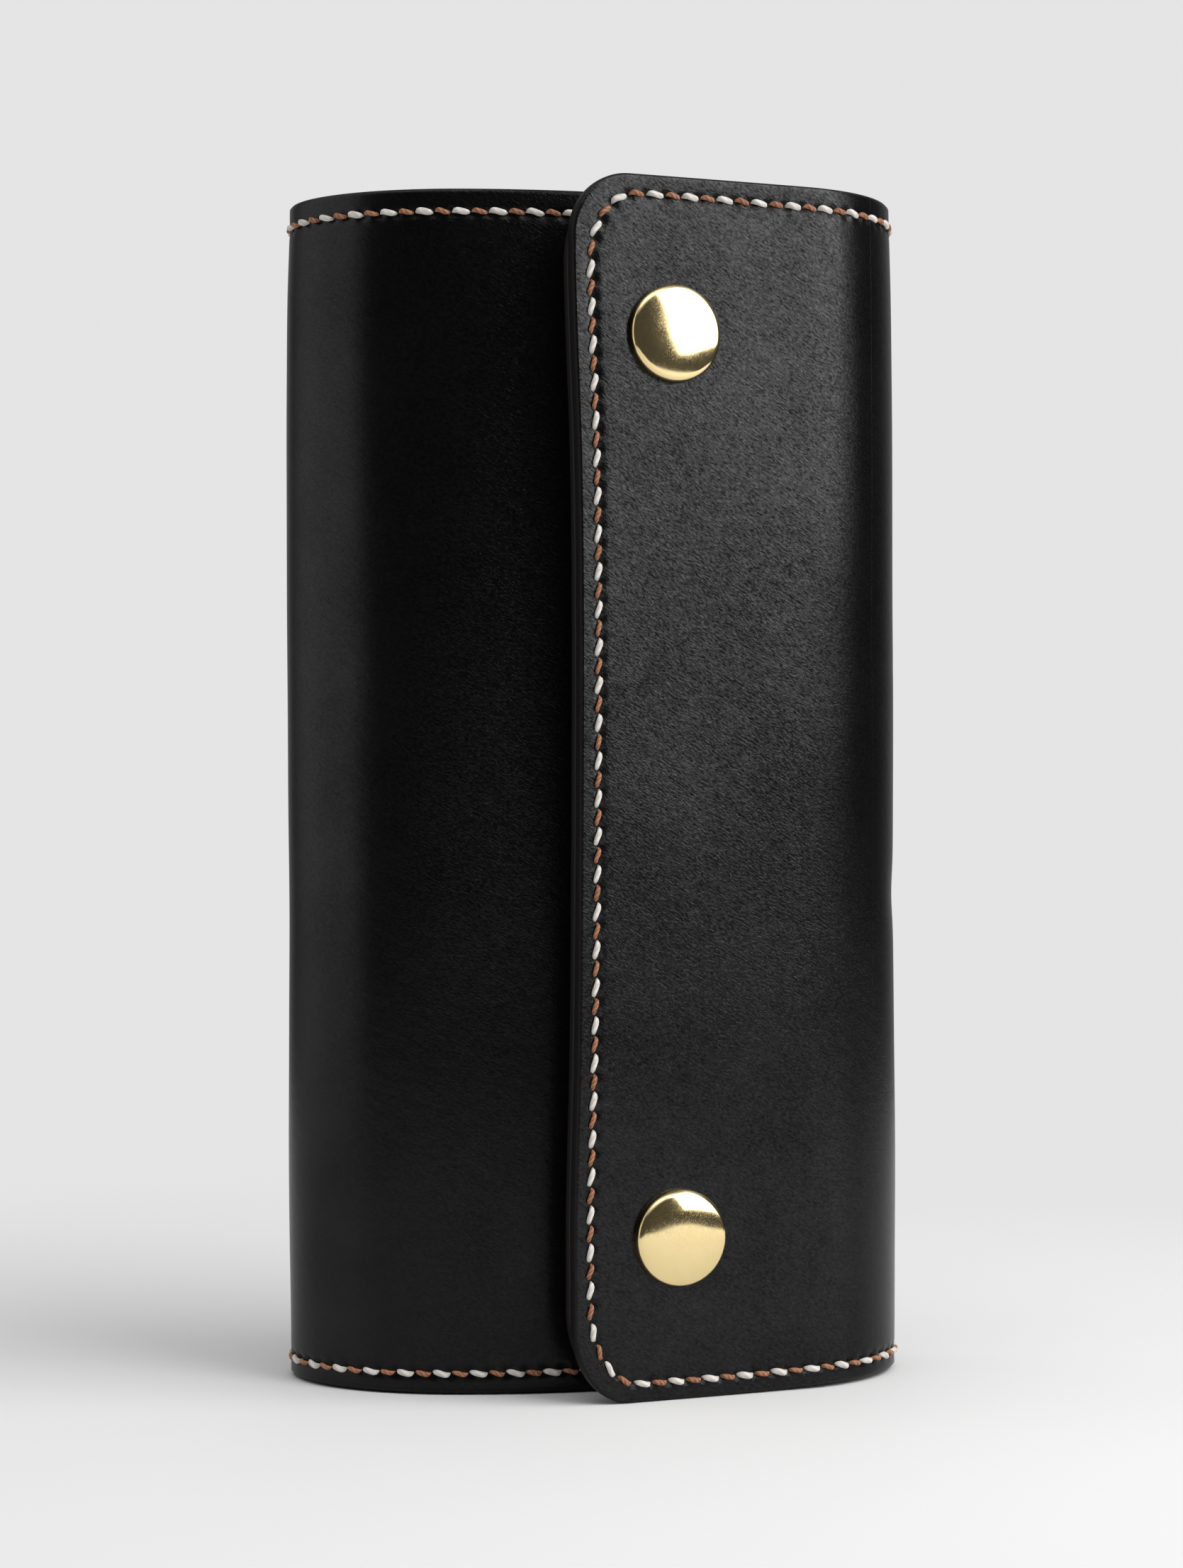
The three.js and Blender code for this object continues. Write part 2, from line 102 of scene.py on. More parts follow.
def through(points: Knots, x: Array) -> Array:
    """A smooth line through points: cubic pieces whose slope at a point is that between its two neighbours.

    Args:
        points: Pairs of place and value, in order of place.
        x: Places to read the line at. Outside the points the end values hold.

    Returns:
        The values at x.
    """
    px, py = np.array(points, float).T
    slope = np.gradient(py, px)
    x = np.clip(x, px[0], px[-1])
    i = np.clip(np.searchsorted(px, x, side="right") - 1, 0, len(px) - 2)
    h = px[i + 1] - px[i]
    t = (x - px[i]) / h
    a = (1 + 2 * t) * (1 - t) ** 2 * py[i] + t * (1 - t) ** 2 * h * slope[i]
    b = t * t * (3 - 2 * t) * py[i + 1] + t * t * (t - 1) * h * slope[i + 1]
    return a + b


def nearest(points: Array, targets: Array, reach: float = 6.0, block: int = 4000) -> Array:
    """Distance from each point to the nearest target in the plane, up to a reach.

    Args:
        points: Points, one row of two numbers each.
        targets: Targets, one row of two numbers each.
        reach: Distances beyond this read as the reach.
        block: Points that are worked on at once.

    Returns:
        One distance for each point.
    """
    found = np.full(len(points), reach)
    for first in range(0, len(points), block):
        part = points[first:first + block]
        gap = np.hypot(part[:, None, 0] - targets[None, :, 0], part[:, None, 1] - targets[None, :, 1])
        found[first:first + block] = np.minimum(gap.min(1), reach)
    return found


def grid_faces(index: Array) -> Array:
    """Quads between neighbours of a two-way index: each goes along the second way first, then the first."""
    return np.stack([index[:-1, :-1], index[:-1, 1:], index[1:, 1:], index[1:, :-1]], -1).reshape(-1, 4)


def line(u: Array | float, z: Array | float) -> Array:
    """Points on the sheet, where u or z may be the same for all."""
    return np.column_stack(np.broadcast_arrays(u, z))


def elbow(centre: Pair, reach: Pair, start: float, steps: int = 40) -> Array:
    """A quarter of an ellipse on the sheet about a centre, from a start angle on."""
    a = start + np.linspace(0.0, QUARTER, steps)
    return np.column_stack([centre[0] + reach[0] * np.cos(a), centre[1] + reach[1] * np.sin(a)])


def chained(*pieces: Array) -> Array:
    """Rows of points one after another, each of which starts where the last one ends."""
    return np.concatenate([pieces[0]] + [piece[1:] for piece in pieces[1:]])


@dataclass
class Shape:
    """A mesh on its way to Blender: points, groups of faces, and numbers kept at the points."""

    points: Array
    faces: list[tuple[Array, bool]]
    vectors: dict[str, Array] = field(default_factory=dict)
    values: dict[str, Array] = field(default_factory=dict)

    def to_object(self, name: str) -> bpy.types.Object:
        """Makes the Blender object.

        Args:
            name: The object's name.

        Returns:
            A new object at the origin whose mesh is in metres, with smooth and flat groups of faces.
        """
        mesh = bpy.data.meshes.new(name)
        loops = np.concatenate([f.ravel() for f, _ in self.faces]).astype(np.int32)
        sizes = np.concatenate([np.full(len(f), f.shape[1]) for f, _ in self.faces])
        mesh.vertices.add(len(self.points))
        mesh.vertices.foreach_set("co", (self.points * MM).astype(np.float32).ravel())
        mesh.loops.add(len(loops))
        mesh.loops.foreach_set("vertex_index", loops)
        mesh.polygons.add(len(sizes))
        mesh.polygons.foreach_set("loop_start", (np.cumsum(sizes) - sizes).astype(np.int32))
        mesh.polygons.foreach_set("use_smooth", np.concatenate([np.full(len(f), s) for f, s in self.faces]))
        tables = (("FLOAT_VECTOR", "vector", self.vectors), ("FLOAT", "value", self.values))
        for kind, form, table in tables:
            for key, data in table.items():
                kept = mesh.attributes.new(key, kind, "POINT").data
                kept.foreach_set(form, data.astype(np.float32).ravel())
        mesh.update(calc_edges=True)
        mesh.validate()
        piece = bpy.data.objects.new(name, mesh)
        bpy.context.scene.collection.objects.link(piece)
        return piece


def joined(*shapes: Shape) -> Shape:
    """Several shapes as one, kept apart in it.

    Args:
        shapes: The shapes, all with the same vectors at their points.

    Returns:
        One shape with the points, the faces and the vectors of all.
    """
    first = np.cumsum([0] + [len(s.points) for s in shapes])
    faces = [(f + start, smooth) for s, start in zip(shapes, first) for f, smooth in s.faces]
    vectors = {k: np.concatenate([s.vectors[k] for s in shapes]) for k in shapes[0].vectors}
    return Shape(np.concatenate([s.points for s in shapes]), faces, vectors)


@dataclass
class Wrap:
    """The clutch's leather as one sheet.

    Its first coordinate u runs along the outer face from the front panel's free edge, round the left fold,
    the back and the two right bends, to the flap's free edge. The second is the height z, and the third the
    depth below that face.
    """

    half_width: float = 49.2
    back_y: float = 24.5
    left_tip_y: float = 7.0
    left_reach: float = 28.0
    left_bulge: float = 21.0
    right_tip_y: float = 14.1
    front_bend: float = 25.0
    slope: float = math.radians(23.5)
    flap_reach: float = 40.4
    front_arc: float = 80.0
    front_reach: float = 12.3
    cover: float = 2.55
    wall: float = 5.0
    height: float = 190.0
    middle: float = 95.6
    bow_reach: float = 26.0
    bow: Knots = ((0, 0.5), (20, 0.46), (28, 0.44), (36, 0.62), (54, 1.12), (66, 1.3), (80, 1.38), (92, 1.42),
                  (122, 1.42), (147, 1.15), (176, 0.12), (192, 0.0))
    dent_z: float = 78.3
    dent_depth: float = 0.25
    dent_height: float = 4.5
    dent_width: float = 6.0
    dent_shift: float = 2.0
    waves: tuple = ((0.09, 9.7, 27.0, 0.0), (0.06, 5.9, -15.0, 1.9), (0.025, 19.0, 6.7, 0.0))
    wave_fade: float = 0.7
    fold_width: float = 16.0
    left_fullness: Knots = ((0, 0.0), (8, 0.0), (22, 0.2), (39, 0.4), (57, 0.42), (74, 0.4), (91, 0.55),
                            (109, 0.5), (126, 0.62), (143, 0.66), (160, 0.72), (176, 0.6), (187, 0.25),
                            (191, 0.2))
    right_fullness: Knots = ((0, 1.0), (7, 1.05), (21, 1.05), (38, 1.1), (56, 0.98), (75, 0.9), (91, 0.95),
                             (109, 0.85), (127, 0.68), (144, 0.6), (161, 0.56), (177, 0.4), (188, 0.1),
                             (192, 0.0))
    step: float = 0.02

    def __post_init__(self) -> None:
        """Traces the outline from above as a close row of points with their outward normals.

        Its runs are straight lines, arcs of circles and, round the left fold, two quarter ellipses. The
        length along them is u.
        """
        h, s, bend, arc = self.half_width, self.slope, self.front_bend, self.front_arc
        tip_y, left, back = self.left_tip_y, self.left_reach, self.back_y - self.right_tip_y
        self.crest_x = left - h
        self.back_bend, self.back_bend_x, self.front_bend_x = back, h - back, h - bend
        self.along = np.array([math.cos(s), math.sin(s)])
        self.facing = np.array([math.sin(s), -math.cos(s)])
        crest = np.array([self.crest_x, tip_y - self.left_bulge])
        root = crest + np.array([arc * math.sin(s), arc * (1 - math.cos(s))])
        flap_root = np.array([self.front_bend_x, self.right_tip_y]) + bend * self.facing
        self.flap_edge = flap_root - self.along * self.flap_reach
        flat = (np.array([self.crest_x, self.back_y]), np.array([self.back_bend_x, self.back_y]))
        middle, back_middle = (self.crest_x, tip_y), (self.back_bend_x, self.right_tip_y)
        runs = {
            "front_root": self._line(root + self.along * self.front_reach, root, self.facing),
            "crest": self._arc((crest[0], crest[1] + arc), (arc, arc), s - QUARTER, -QUARTER),
            "left_tip": self._arc(middle, (left, self.left_bulge), -QUARTER, -2 * QUARTER),
            "back": self._arc(middle, (left, self.back_y - tip_y), 2 * QUARTER, QUARTER),
            "back_bend": self._line(*flat, np.array([0.0, 1.0])),
            "right_tip": self._arc(back_middle, (back, back), QUARTER, 0.0),
            "flap_root": self._arc((self.front_bend_x, self.right_tip_y), (bend, bend), 0.0, s - QUARTER),
            "flap_edge": self._line(flap_root, self.flap_edge, self.facing),
        }
        self.marks, rows, total = {}, [], 0.0
        for mark, run in runs.items():
            length = np.concatenate([[0.0], np.cumsum(np.hypot(*np.diff(run[:, :2], axis=0).T))])
            rows.append(np.column_stack([total + length, run])[: -1 if mark != "flap_edge" else None])
            total += length[-1]
            self.marks[mark] = total
        self.trace = np.concatenate(rows).T
        self.length = total
        self.snap_base = float((root - flap_root) @ self.facing)

    def _line(self, start: Array, end: Array, normal: Array) -> Array:
        """Points on a straight run with its normal, one row each."""
        t = np.linspace(0.0, 1.0, max(2, int(np.hypot(*(end - start)) / self.step)))[:, None]
        return np.hstack([start + (end - start) * t, np.repeat(normal[None], len(t), 0)])

    def _arc(self, centre: Pair, reach: Pair, start: float, end: float) -> Array:
        """Points on an arc of an ellipse with their normals, each across its point's tangent.

        Args:
            centre: The ellipse's middle.
            reach: Its half lengths along x and y.
            start: The angle to start from.
            end: The angle to end at.

        Returns:
            One row of point and normal each.
        """
        a = np.linspace(start, end, int(abs(end - start) * max(reach) / self.step))
        normal = np.column_stack([np.cos(a) / reach[0], np.sin(a) / reach[1]])
        normal /= np.linalg.norm(normal, axis=1)[:, None]
        return np.column_stack([centre[0] + reach[0] * np.cos(a), centre[1] + reach[1] * np.sin(a), normal])

    def low(self, u: Array) -> Array:
        """Height of the cover's bottom edge along the sheet."""
        m, end = self.marks, self.length
        return through(((0, 0.25), (m["crest"], 0.25), (m["left_tip"], 0.4), (m["back"], 0.15),
                        (m["back_bend"], 0.1), (m["right_tip"], 0.5), (m["flap_root"], 0.4), (end - 32, 0.17),
                        (end - 22, 0.02), (end - 12, 0.0), (end, 0.0)), u)

    def high(self, u: Array) -> Array:
        """Height of the cover's top edge along the sheet."""
        m = self.marks
        return through(((0, 190.4), (m["crest"], 190.4), (m["left_tip"], 190.5), (m["back"], 190.4),
                        (m["back_bend"], 191.1), (m["right_tip"], 191.5), (m["flap_root"], 191.6),
                        (self.length, 191.5)), u)

    def swell(self, u: Array, z: Array) -> Array:
        """How far the whole leather stands out of its plain outline.

        Long shallow sine waves of the hand-shaped leather that die out at both ends, a fuller left fold above
        the middle, a right bend that leans out towards the bottom, and one small dent on the right bend.

        Args:
            u: Places along the sheet.
            z: Heights.

        Returns:
            One distance for each place.
        """
        left_tip, right_tip = self.marks["left_tip"], self.marks["right_tip"]
        waves = sum(size * np.sin(u / along + z / up + shift) for size, along, up, shift in self.waves)
        edges = np.sin(np.pi * np.clip(z / self.height, 0, 1)) ** self.wave_fade
        left = through(self.left_fullness, z) * bump(u, self.fold_width, left_tip)
        right = through(self.right_fullness, z) * bump(u, self.fold_width, right_tip)
        across = bump(u, self.dent_width, right_tip + self.dent_shift)
        dent = self.dent_depth * bump(z, self.dent_height, self.dent_z) * across
        return waves * edges + left + right - dent

    def drawn(self, u: Array, z: Array) -> Array:
        """How far the bow draws in the flap's free edge at places along the sheet and heights."""
        return through(self.bow, z) * ease(u, self.length - self.bow_reach, self.length)

    def place(self, u: Array, z: Array, depth: Array) -> Array:
        """Puts points of the sheet in space.

        The flap's free edge is drawn in by its bow first. The point then lies on the outline's normal at u,
        in by the depth and out by the swell.

        Args:
            u: Places along the sheet.
            z: Heights.
            depth: Depths below the outer face.

        Returns:
            Points, with the coordinates along a new last axis.
        """
        at = u - self.drawn(u, z)
        row, x, y, nx, ny = self.trace
        n = np.stack([np.interp(at, row, nx), np.interp(at, row, ny)], -1)
        n /= np.linalg.norm(n, axis=-1)[..., None]
        out = self.swell(u, z) - depth
        moved = [np.interp(at, row, plain) + n[..., i] * out for i, plain in enumerate((x, y))]
        return np.stack([*moved, z], -1)

    def bend_point(self, bend: str, turn: float) -> tuple[float, float, float]:
        """The point on the wall's inner face at a turn round the back or the front bend.

        Args:
            bend: The bend's name, back or front.
            turn: The turn in degrees.

        Returns:
            The point in metres, at half height.
        """
        bends = {"back": (self.back_bend_x, self.back_bend), "front": (self.front_bend_x, self.front_bend)}
        x, radius = bends[bend]
        a, r = math.radians(turn), radius - self.wall
        return ((x + r * math.cos(a)) * MM, (self.right_tip_y + r * math.sin(a)) * MM, self.middle * MM)


@dataclass(frozen=True)
class Corner:
    """A rounded corner of a leather piece: its reach along the sheet and its height."""

    reach: float
    height: float

    def inset(self, distance: Array, lip: float) -> Array:
        """How far an edge stops short near a free end: by the lip and by a quarter ellipse.

        Args:
            distance: Distances from the free end.
            lip: How far the rounded cut edge stands out past the face.

        Returns:
            One inset for each distance.
        """
        a, b = self.reach - lip, self.height - lip
        t = np.clip((self.reach - distance) / a, 0.0, 1.0)
        return lip + b * (1.0 - np.sqrt(1.0 - t * t))


@dataclass
class Slab:
    """One closed leather piece cut from the wrap, with burnished, rounded edges.

    The outer and the inner face are grids of columns along u and rows along z. A rim of small steps joins
    them at every cut edge, and a flat cap closes each end that meets the next piece.
    """

    start: float
    stop: float
    depths: Pair
    ends: tuple[End, End]
    low: Callable[[Array], Array]
    high: Callable[[Array], Array]
    rows: Array
    lip: float
    top_corner: Corner = Corner(9.6, 10.0)
    bottom_corner: Corner = Corner(9.6, 12.4)
    column_step: float = 0.6
    end_step: float = 0.04
    rim_steps: int = 8
    roundness: float = 3.2
    corner_steps: int = 26

    def columns(self) -> tuple[Array, Array]:
        """Places of the columns along u and their distances to the nearest free end.

        A free end has columns at equal turns round its corner, and a meeting end has one extra column close
        to it.

        Returns:
            The places, and the distances, which have no end where both ends meet another piece.
        """
        turn = np.linspace(0.0, QUARTER, self.corner_steps + 1)
        reach = self.top_corner.reach
        rounded, close = reach - (reach - self.lip) * np.cos(turn), np.array([0.0, self.end_step])
        first, last = (rounded if end is End.FREE else close for end in self.ends)
        a, b = self.start + first[-1], self.stop - last[-1]
        middle = np.linspace(a, b, max(2, int(math.ceil((b - a) / self.column_step)) + 1))[1:-1]
        u = np.concatenate([self.start + first, middle, (self.stop - last)[::-1]])
        gaps = [gap if end is End.FREE else np.full_like(u, np.inf)
                for gap, end in zip((u - self.start, self.stop - u), self.ends)]
        return u, np.minimum(*gaps)

    def shape(self, place: Place, relief: Relief | None = None, inside: bool = False) -> Shape:
        """Works the piece out.

        Args:
            place: Puts u, z and depth in space.
            relief: Gives how far a face stands out at u and z, and how much painted shade darkens a stitch
                hole there.
            inside: True where the relief is on the inner face.

        Returns:
            The closed shape, with its sheet coordinates, its edges and the painted shade of its stitch holes
            kept at the points.
        """
        u, distance = self.columns()
        low = self.low(u) + self.bottom_corner.inset(distance, self.lip)
        high = self.high(u) - self.top_corner.inset(distance, self.lip)
        grid_u = np.repeat(u[:, None], len(self.rows), 1)
        grid_z = low[:, None] + (high - low)[:, None] * self.rows
        outer = np.arange(grid_u.size).reshape(grid_u.shape)
        inner = outer + grid_u.size
        faces = [(grid_faces(outer), True), (grid_faces(inner)[:, ::-1], True)]
        us, zs = [grid_u.ravel()] * 2, [grid_z.ravel()] * 2
        shares = [np.zeros(grid_u.size), np.ones(grid_u.size)]
        for path, closed in self._paths(outer):
            rim = self._rim(grid_u.ravel()[path], grid_z.ravel()[path], closed)
            ring = sum(map(len, us)) + np.arange(rim[0].size).reshape(rim[0].shape)
            for rows, found in zip((us, zs, shares), rim):
                rows.append(found.ravel())
            layers = np.vstack([path, ring, path + grid_u.size])
            if closed:
                layers = np.hstack([layers, layers[:, :1]])
            faces.append((grid_faces(layers.T)[:, ::-1], True))
            if not closed:
                faces += [(layers[:, 0][None], False), (layers[::-1, -1][None], False)]
        for side, end in zip((0, -1), self.ends):
            if end is End.BUTT:
                quads = np.stack([outer[side, :-1], outer[side, 1:], inner[side, 1:], inner[side, :-1]], -1)
                faces.append((quads[:, ::-1] if side == 0 else quads, False))
        u, z, share = (np.concatenate(rows) for rows in (us, zs, shares))
        depth = self.depths[0] + (self.depths[1] - self.depths[0]) * share
        # The relief's second number is painted shade round the stitch holes, kept in the hole attribute.
        dark, full = np.zeros(len(u)), np.ones(len(u))
        if relief is not None:
            height, dark = relief(u, z)
            depth += height * share if inside else -height * (1 - share)
            dark = dark * (share > 0.5 if inside else share < 0.5)
        edge = full * (np.arange(len(u)) >= 2 * grid_u.size)
        values = {"edge": edge, "hole": dark, "grain": 0.5 * full, "wax": full}
        return Shape(place(u, z, depth), faces, {"sheet": np.column_stack([u, z, depth])}, values)

    def _rim(self, u: Array, z: Array, closed: bool) -> tuple[Array, Array, Array]:
        """The rounded cut edge beside a path.

        It bulges by the lip times the root of order p of 1 - |t|^p, with t from -1 at the outer face to 1.

        Args:
            u: The path's places along the sheet.
            z: The path's heights.
            closed: True where the path closes on itself.

        Returns:
            Places, heights and shares of the depth, by step across the edge and point of the path.
        """
        step = np.linspace(-1.0, 1.0, self.rim_steps + 1)[1:-1, None]
        bulge = self.lip * (1.0 - np.abs(step) ** self.roundness) ** (1 / self.roundness)
        du, dz = (np.roll(c, -1) - np.roll(c, 1) if closed else np.gradient(c) for c in (u, z))
        size = np.hypot(du, dz)
        return u + bulge * dz / size, z - bulge * du / size, (step + 1) / 2 + 0 * u

    def _paths(self, outer: Array) -> list[tuple[Array, bool]]:
        """The outer face's cut edges.

        Args:
            outer: Point numbers by column and row.

        Returns:
            Rows of point numbers, each with whether it closes on itself.
        """
        bottom, top = outer[:, 0], outer[::-1, -1]
        last, first = outer[-1, 1:-1], outer[0, -2:0:-1]
        return {
            (End.FREE, End.FREE): [(np.concatenate([bottom, last, top, first]), True)],
            (End.BUTT, End.FREE): [(np.concatenate([bottom, last, top]), False)],
            (End.FREE, End.BUTT): [(np.concatenate([top, first, bottom]), False)],
            (End.BUTT, End.BUTT): [(bottom, False), (top, False)],
        }[self.ends]


@dataclass
class Seam:
    """A line of stitches on the sheet, as places along it that know their stitch number.

    Whole numbers are the middles of stitches, even ones white and odd ones brown, and the holes lie half way
    between.
    """

    path: Array
    anchors: Array
    pitch: float = 2.95
    room: float = 2.0
    hole_shift: float = 0.35
    samples: int = 8000
    line_step: float = 0.5

    def __post_init__(self) -> None:
        """Measures the line."""
        self.run = np.concatenate([[0.0], np.cumsum(np.hypot(*np.diff(self.path, axis=0).T))])

    def at(self, place: Array) -> Array:
        """Sheet coordinates at places along the seam."""
        return np.stack([np.interp(place, self.run, self.path[:, i]) for i in (0, 1)], -1)

    def inward(self, place: Array, reach: float = 0.4) -> Array:
        """Unit vectors on the sheet square to the seam's run, which point away from the edge.

        Args:
            place: Places along the seam.
            reach: How far before and after a place the run's direction is taken.

        Returns:
            Vectors, with their two numbers along a new last axis.
        """
        way = self.at(place + reach) - self.at(place - reach)
        way /= np.maximum(np.linalg.norm(way, axis=-1), 1e-9)[..., None]
        return np.stack([-way[..., 1], way[..., 0]], -1)

    def numbers(self) -> Array:
        """Whole stitch numbers on the seam, leaving some room at both ends."""
        first, last = self.number(np.array([self.room, self.run[-1] - self.room]))
        return np.arange(math.ceil(first), math.floor(last) + 1)

    def number(self, place: Array) -> Array:
        """The stitch number, which rises in a straight line between anchors, and at the pitch past them.

        Args:
            place: Places along the seam.

        Returns:
            One number for each place.
        """
        at, number = self.anchors
        before = np.minimum(place - at[0], 0.0) / self.pitch
        after = np.maximum(place - at[-1], 0.0) / self.pitch
        return np.interp(place, at, number) + before + after

    def where(self, number: Array) -> Array:
        """The place along the seam of stitch numbers."""
        places = np.linspace(0.0, self.run[-1], self.samples)
        return np.interp(number, self.number(places), places)

    def holes(self) -> Array:
        """Sheet coordinates of the awl holes, which open a little to the inner side of the seam."""
        k = self.numbers()
        place = self.where(np.append(k - 0.5, k[-1] + 0.5))
        return self.at(place) + self.hole_shift * self.inward(place)

    def line(self) -> Array:
        """Sheet coordinates close together along the seam."""
        return self.at(np.arange(0.0, self.run[-1], self.line_step))


@dataclass
class EdgeSeam:
    """The long seam that runs round the whole wrap, a little in from its edges, clockwise from outside."""

    wrap: Wrap
    flap_margin: Knots = ((15, 2.45), (40, 2.5), (65, 2.65), (90, 2.85), (180, 2.85))
    mouth_margin: float = 3.1
    mouth_corner: float = 8.0
    flap_corner: float = 11.0
    top_rise: float = 11.0
    bottom_rise: float = 12.5
    start_height: float = 95.0
    points: int = 400

    def top(self, u: Array) -> Array:
        """Height of the top run."""
        end, left_tip = self.wrap.length, self.wrap.marks["left_tip"]
        return self.wrap.high(u) - through(((0, 3.7), (left_tip, 3.6), (end - 75, 3.6), (end - 42, 3.42),
                                            (end - 20, 3.18), (end, 3.12)), u)

    def bottom(self, u: Array) -> Array:
        """Height of the bottom run."""
        m, end = self.wrap.marks, self.wrap.length
        return self.wrap.low(u) + through(((0, 3.15), (m["crest"], 3.15), (m["left_tip"], 2.8),
                                           (m["right_tip"], 2.6), (m["flap_root"], 2.85), (end, 3.0)), u)

    def build(self) -> Seam:
        """Traces the seam and numbers its stitches.

        Returns:
            The seam, from the middle of the front panel's free edge down, along the bottom, up the flap's
            free edge, back along the top and down again. Its anchors are stitches whose place on the clutch
            is known, and its two ends, which meet in a hole between a white stitch and a brown one.
        """
        end, crest, n = self.wrap.length, self.wrap.marks["crest"], self.points
        near, far = self.mouth_corner, end - self.flap_corner
        mouth, reach, run = self.mouth_margin, near - self.mouth_margin, np.linspace(near, far, n)
        low, high = self.bottom(run), self.top(run)
        rise = np.linspace(low[-1] + self.bottom_rise, high[-1] - self.top_rise, n)
        side = end - through(self.flap_margin, rise)
        path = chained(
            line(mouth, np.linspace(self.start_height, low[0] + reach, n)),
            elbow((near, low[0] + reach), (reach, reach), 2 * QUARTER),
            line(run, low),
            elbow((far, rise[0]), (side[0] - far, self.bottom_rise), -QUARTER),
            line(side, rise),
            elbow((far, rise[-1]), (side[-1] - far, self.top_rise), 0.0),
            line(run[::-1], high[::-1]),
            elbow((near, high[0] - reach), (reach, reach), QUARTER),
            line(mouth, np.linspace(high[0] - reach, self.start_height, n)),
        )
        known = (
            (crest + 2.7, 3.0, -130), (end - 35.95, 3.0, -68), (end - 11.39, 3.0, -60),
            (end - 2.5, 17.97, -54), (end - 2.85, 176.1, 0), (end - 13.94, 188.0, 6),
            (end - 37.97, 188.0, 14), (crest - 0.7, 187.0, 76),
        )
        u, z, number = np.array(known).T
        seam = Seam(path, np.zeros((2, 2)), room=0.0)
        gaps = np.hypot(path[:, None, 0] - u, path[:, None, 1] - z)
        seam.anchors = np.array([seam.run[gaps.argmin(0)], number])
        begun, ended = seam.number(seam.run[[0, -1]])
        first = math.floor(begun) + 0.5
        last = first + 2 * round((ended - first) / 2)
        seam.anchors = np.hstack([[[0.0], [first]], seam.anchors, [[seam.run[-1]], [last]]])
        return seam


@dataclass(frozen=True)
class StitchForm:
    """One saddle stitch: a leaf of thread that leans across the seam and dives into a hole at both ends."""

    reach: float = 1.60
    half_width: float = 0.52
    half_height: float = 0.44
    lift: float = 0.14
    dive: float = 0.75
    lean: float = 0.21
    level_share: float = 0.45
    curl: float = 0.08
    hook: float = 0.26
    tip: float = 0.985
    taper: float = 2.4
    fullness: float = 0.55
    spread: tuple = (0.07, 0.07, 0.03, 0.05, 0.5)
    rings: int = 8
    sides: int = 8

    def shape(
        self, seam: Seam, numbers: Array, depth: Array, place: Place, outward: float, seed: int
    ) -> Shape:
        """Builds many stitches at once.

        Along a stitch t goes from -1 to 1. The half width and half height are those of the form times
        (1 - |tip t|^taper)^fullness. The middle line leans by a share of its length, less where the seam runs
        level, curls by a sine, hooks back at its start by t^4 and sinks by t^4. The spread says how much luck
        changes the width, height, length, lean and curl.

        Args:
            seam: The seam that they are on.
            numbers: Their stitch numbers.
            depth: Depth of the leather's face below the wrap's outer face at each stitch.
            place: Puts u, z and depth in space.
            outward: 1 where the stitches stand on an outer face, and -1 on an inner one.
            seed: Picks the small differences between stitches.

        Returns:
            The closed stitches, with the place along and round the thread kept at the points.
        """
        luck = np.random.default_rng(seed).uniform(-1, 1, (len(numbers), 5))
        wider, taller, longer, leaning, curling = (luck * self.spread).T[..., None, None]
        t = np.linspace(-1.0, 1.0, self.rings)[None, :, None]
        a = np.linspace(0.0, 2 * np.pi, self.sides, endpoint=False)[None, None, :]
        full = (1.0 - np.abs(t * self.tip) ** self.taper) ** self.fullness
        wide = self.half_width * (1 + wider) * full
        tall = self.half_height * (1 + taller) * full
        reach = self.reach * (1 + longer)
        middle = seam.where(numbers)
        level = np.abs(seam.inward(middle)[:, 1])[:, None, None]
        lean = (self.lean * (1 - self.level_share * level) + leaning) * reach * t
        curl = self.curl * (1 + curling) * np.sin(np.pi * t)
        hook = self.hook * np.maximum(-t, 0.0) ** 4
        across = lean + curl + hook + wide * np.cos(a)
        height = self.lift - self.dive * t**4 + tall * np.sin(a)
        same = np.zeros_like(across)
        along = middle[:, None, None] + reach * t + same
        at = seam.at(along) + seam.inward(along) * across[..., None]
        points = place(at[..., 0], at[..., 1], depth[:, None, None] - outward * height)
        index = np.arange(across.size).reshape(across.shape)
        ring = np.concatenate([index, index[:, :, :1]], 2)
        here, ahead = ring[:, :-1], ring[:, 1:]
        quads = np.stack([here[..., :-1], ahead[..., :-1], ahead[..., 1:], here[..., 1:]], -1).reshape(-1, 4)
        caps = np.concatenate([index[:, 0], index[:, -1, ::-1]])
        if outward < 0:
            quads, caps = quads[:, ::-1], caps[:, ::-1]
        tone = luck[:, 0, None, None]
        thread = np.stack([t * self.reach + same, a / (2 * np.pi) + same, tone + same], -1)
        return Shape(points.reshape(-1, 3), [(quads, True), (caps, True)], {"thread": thread.reshape(-1, 3)})


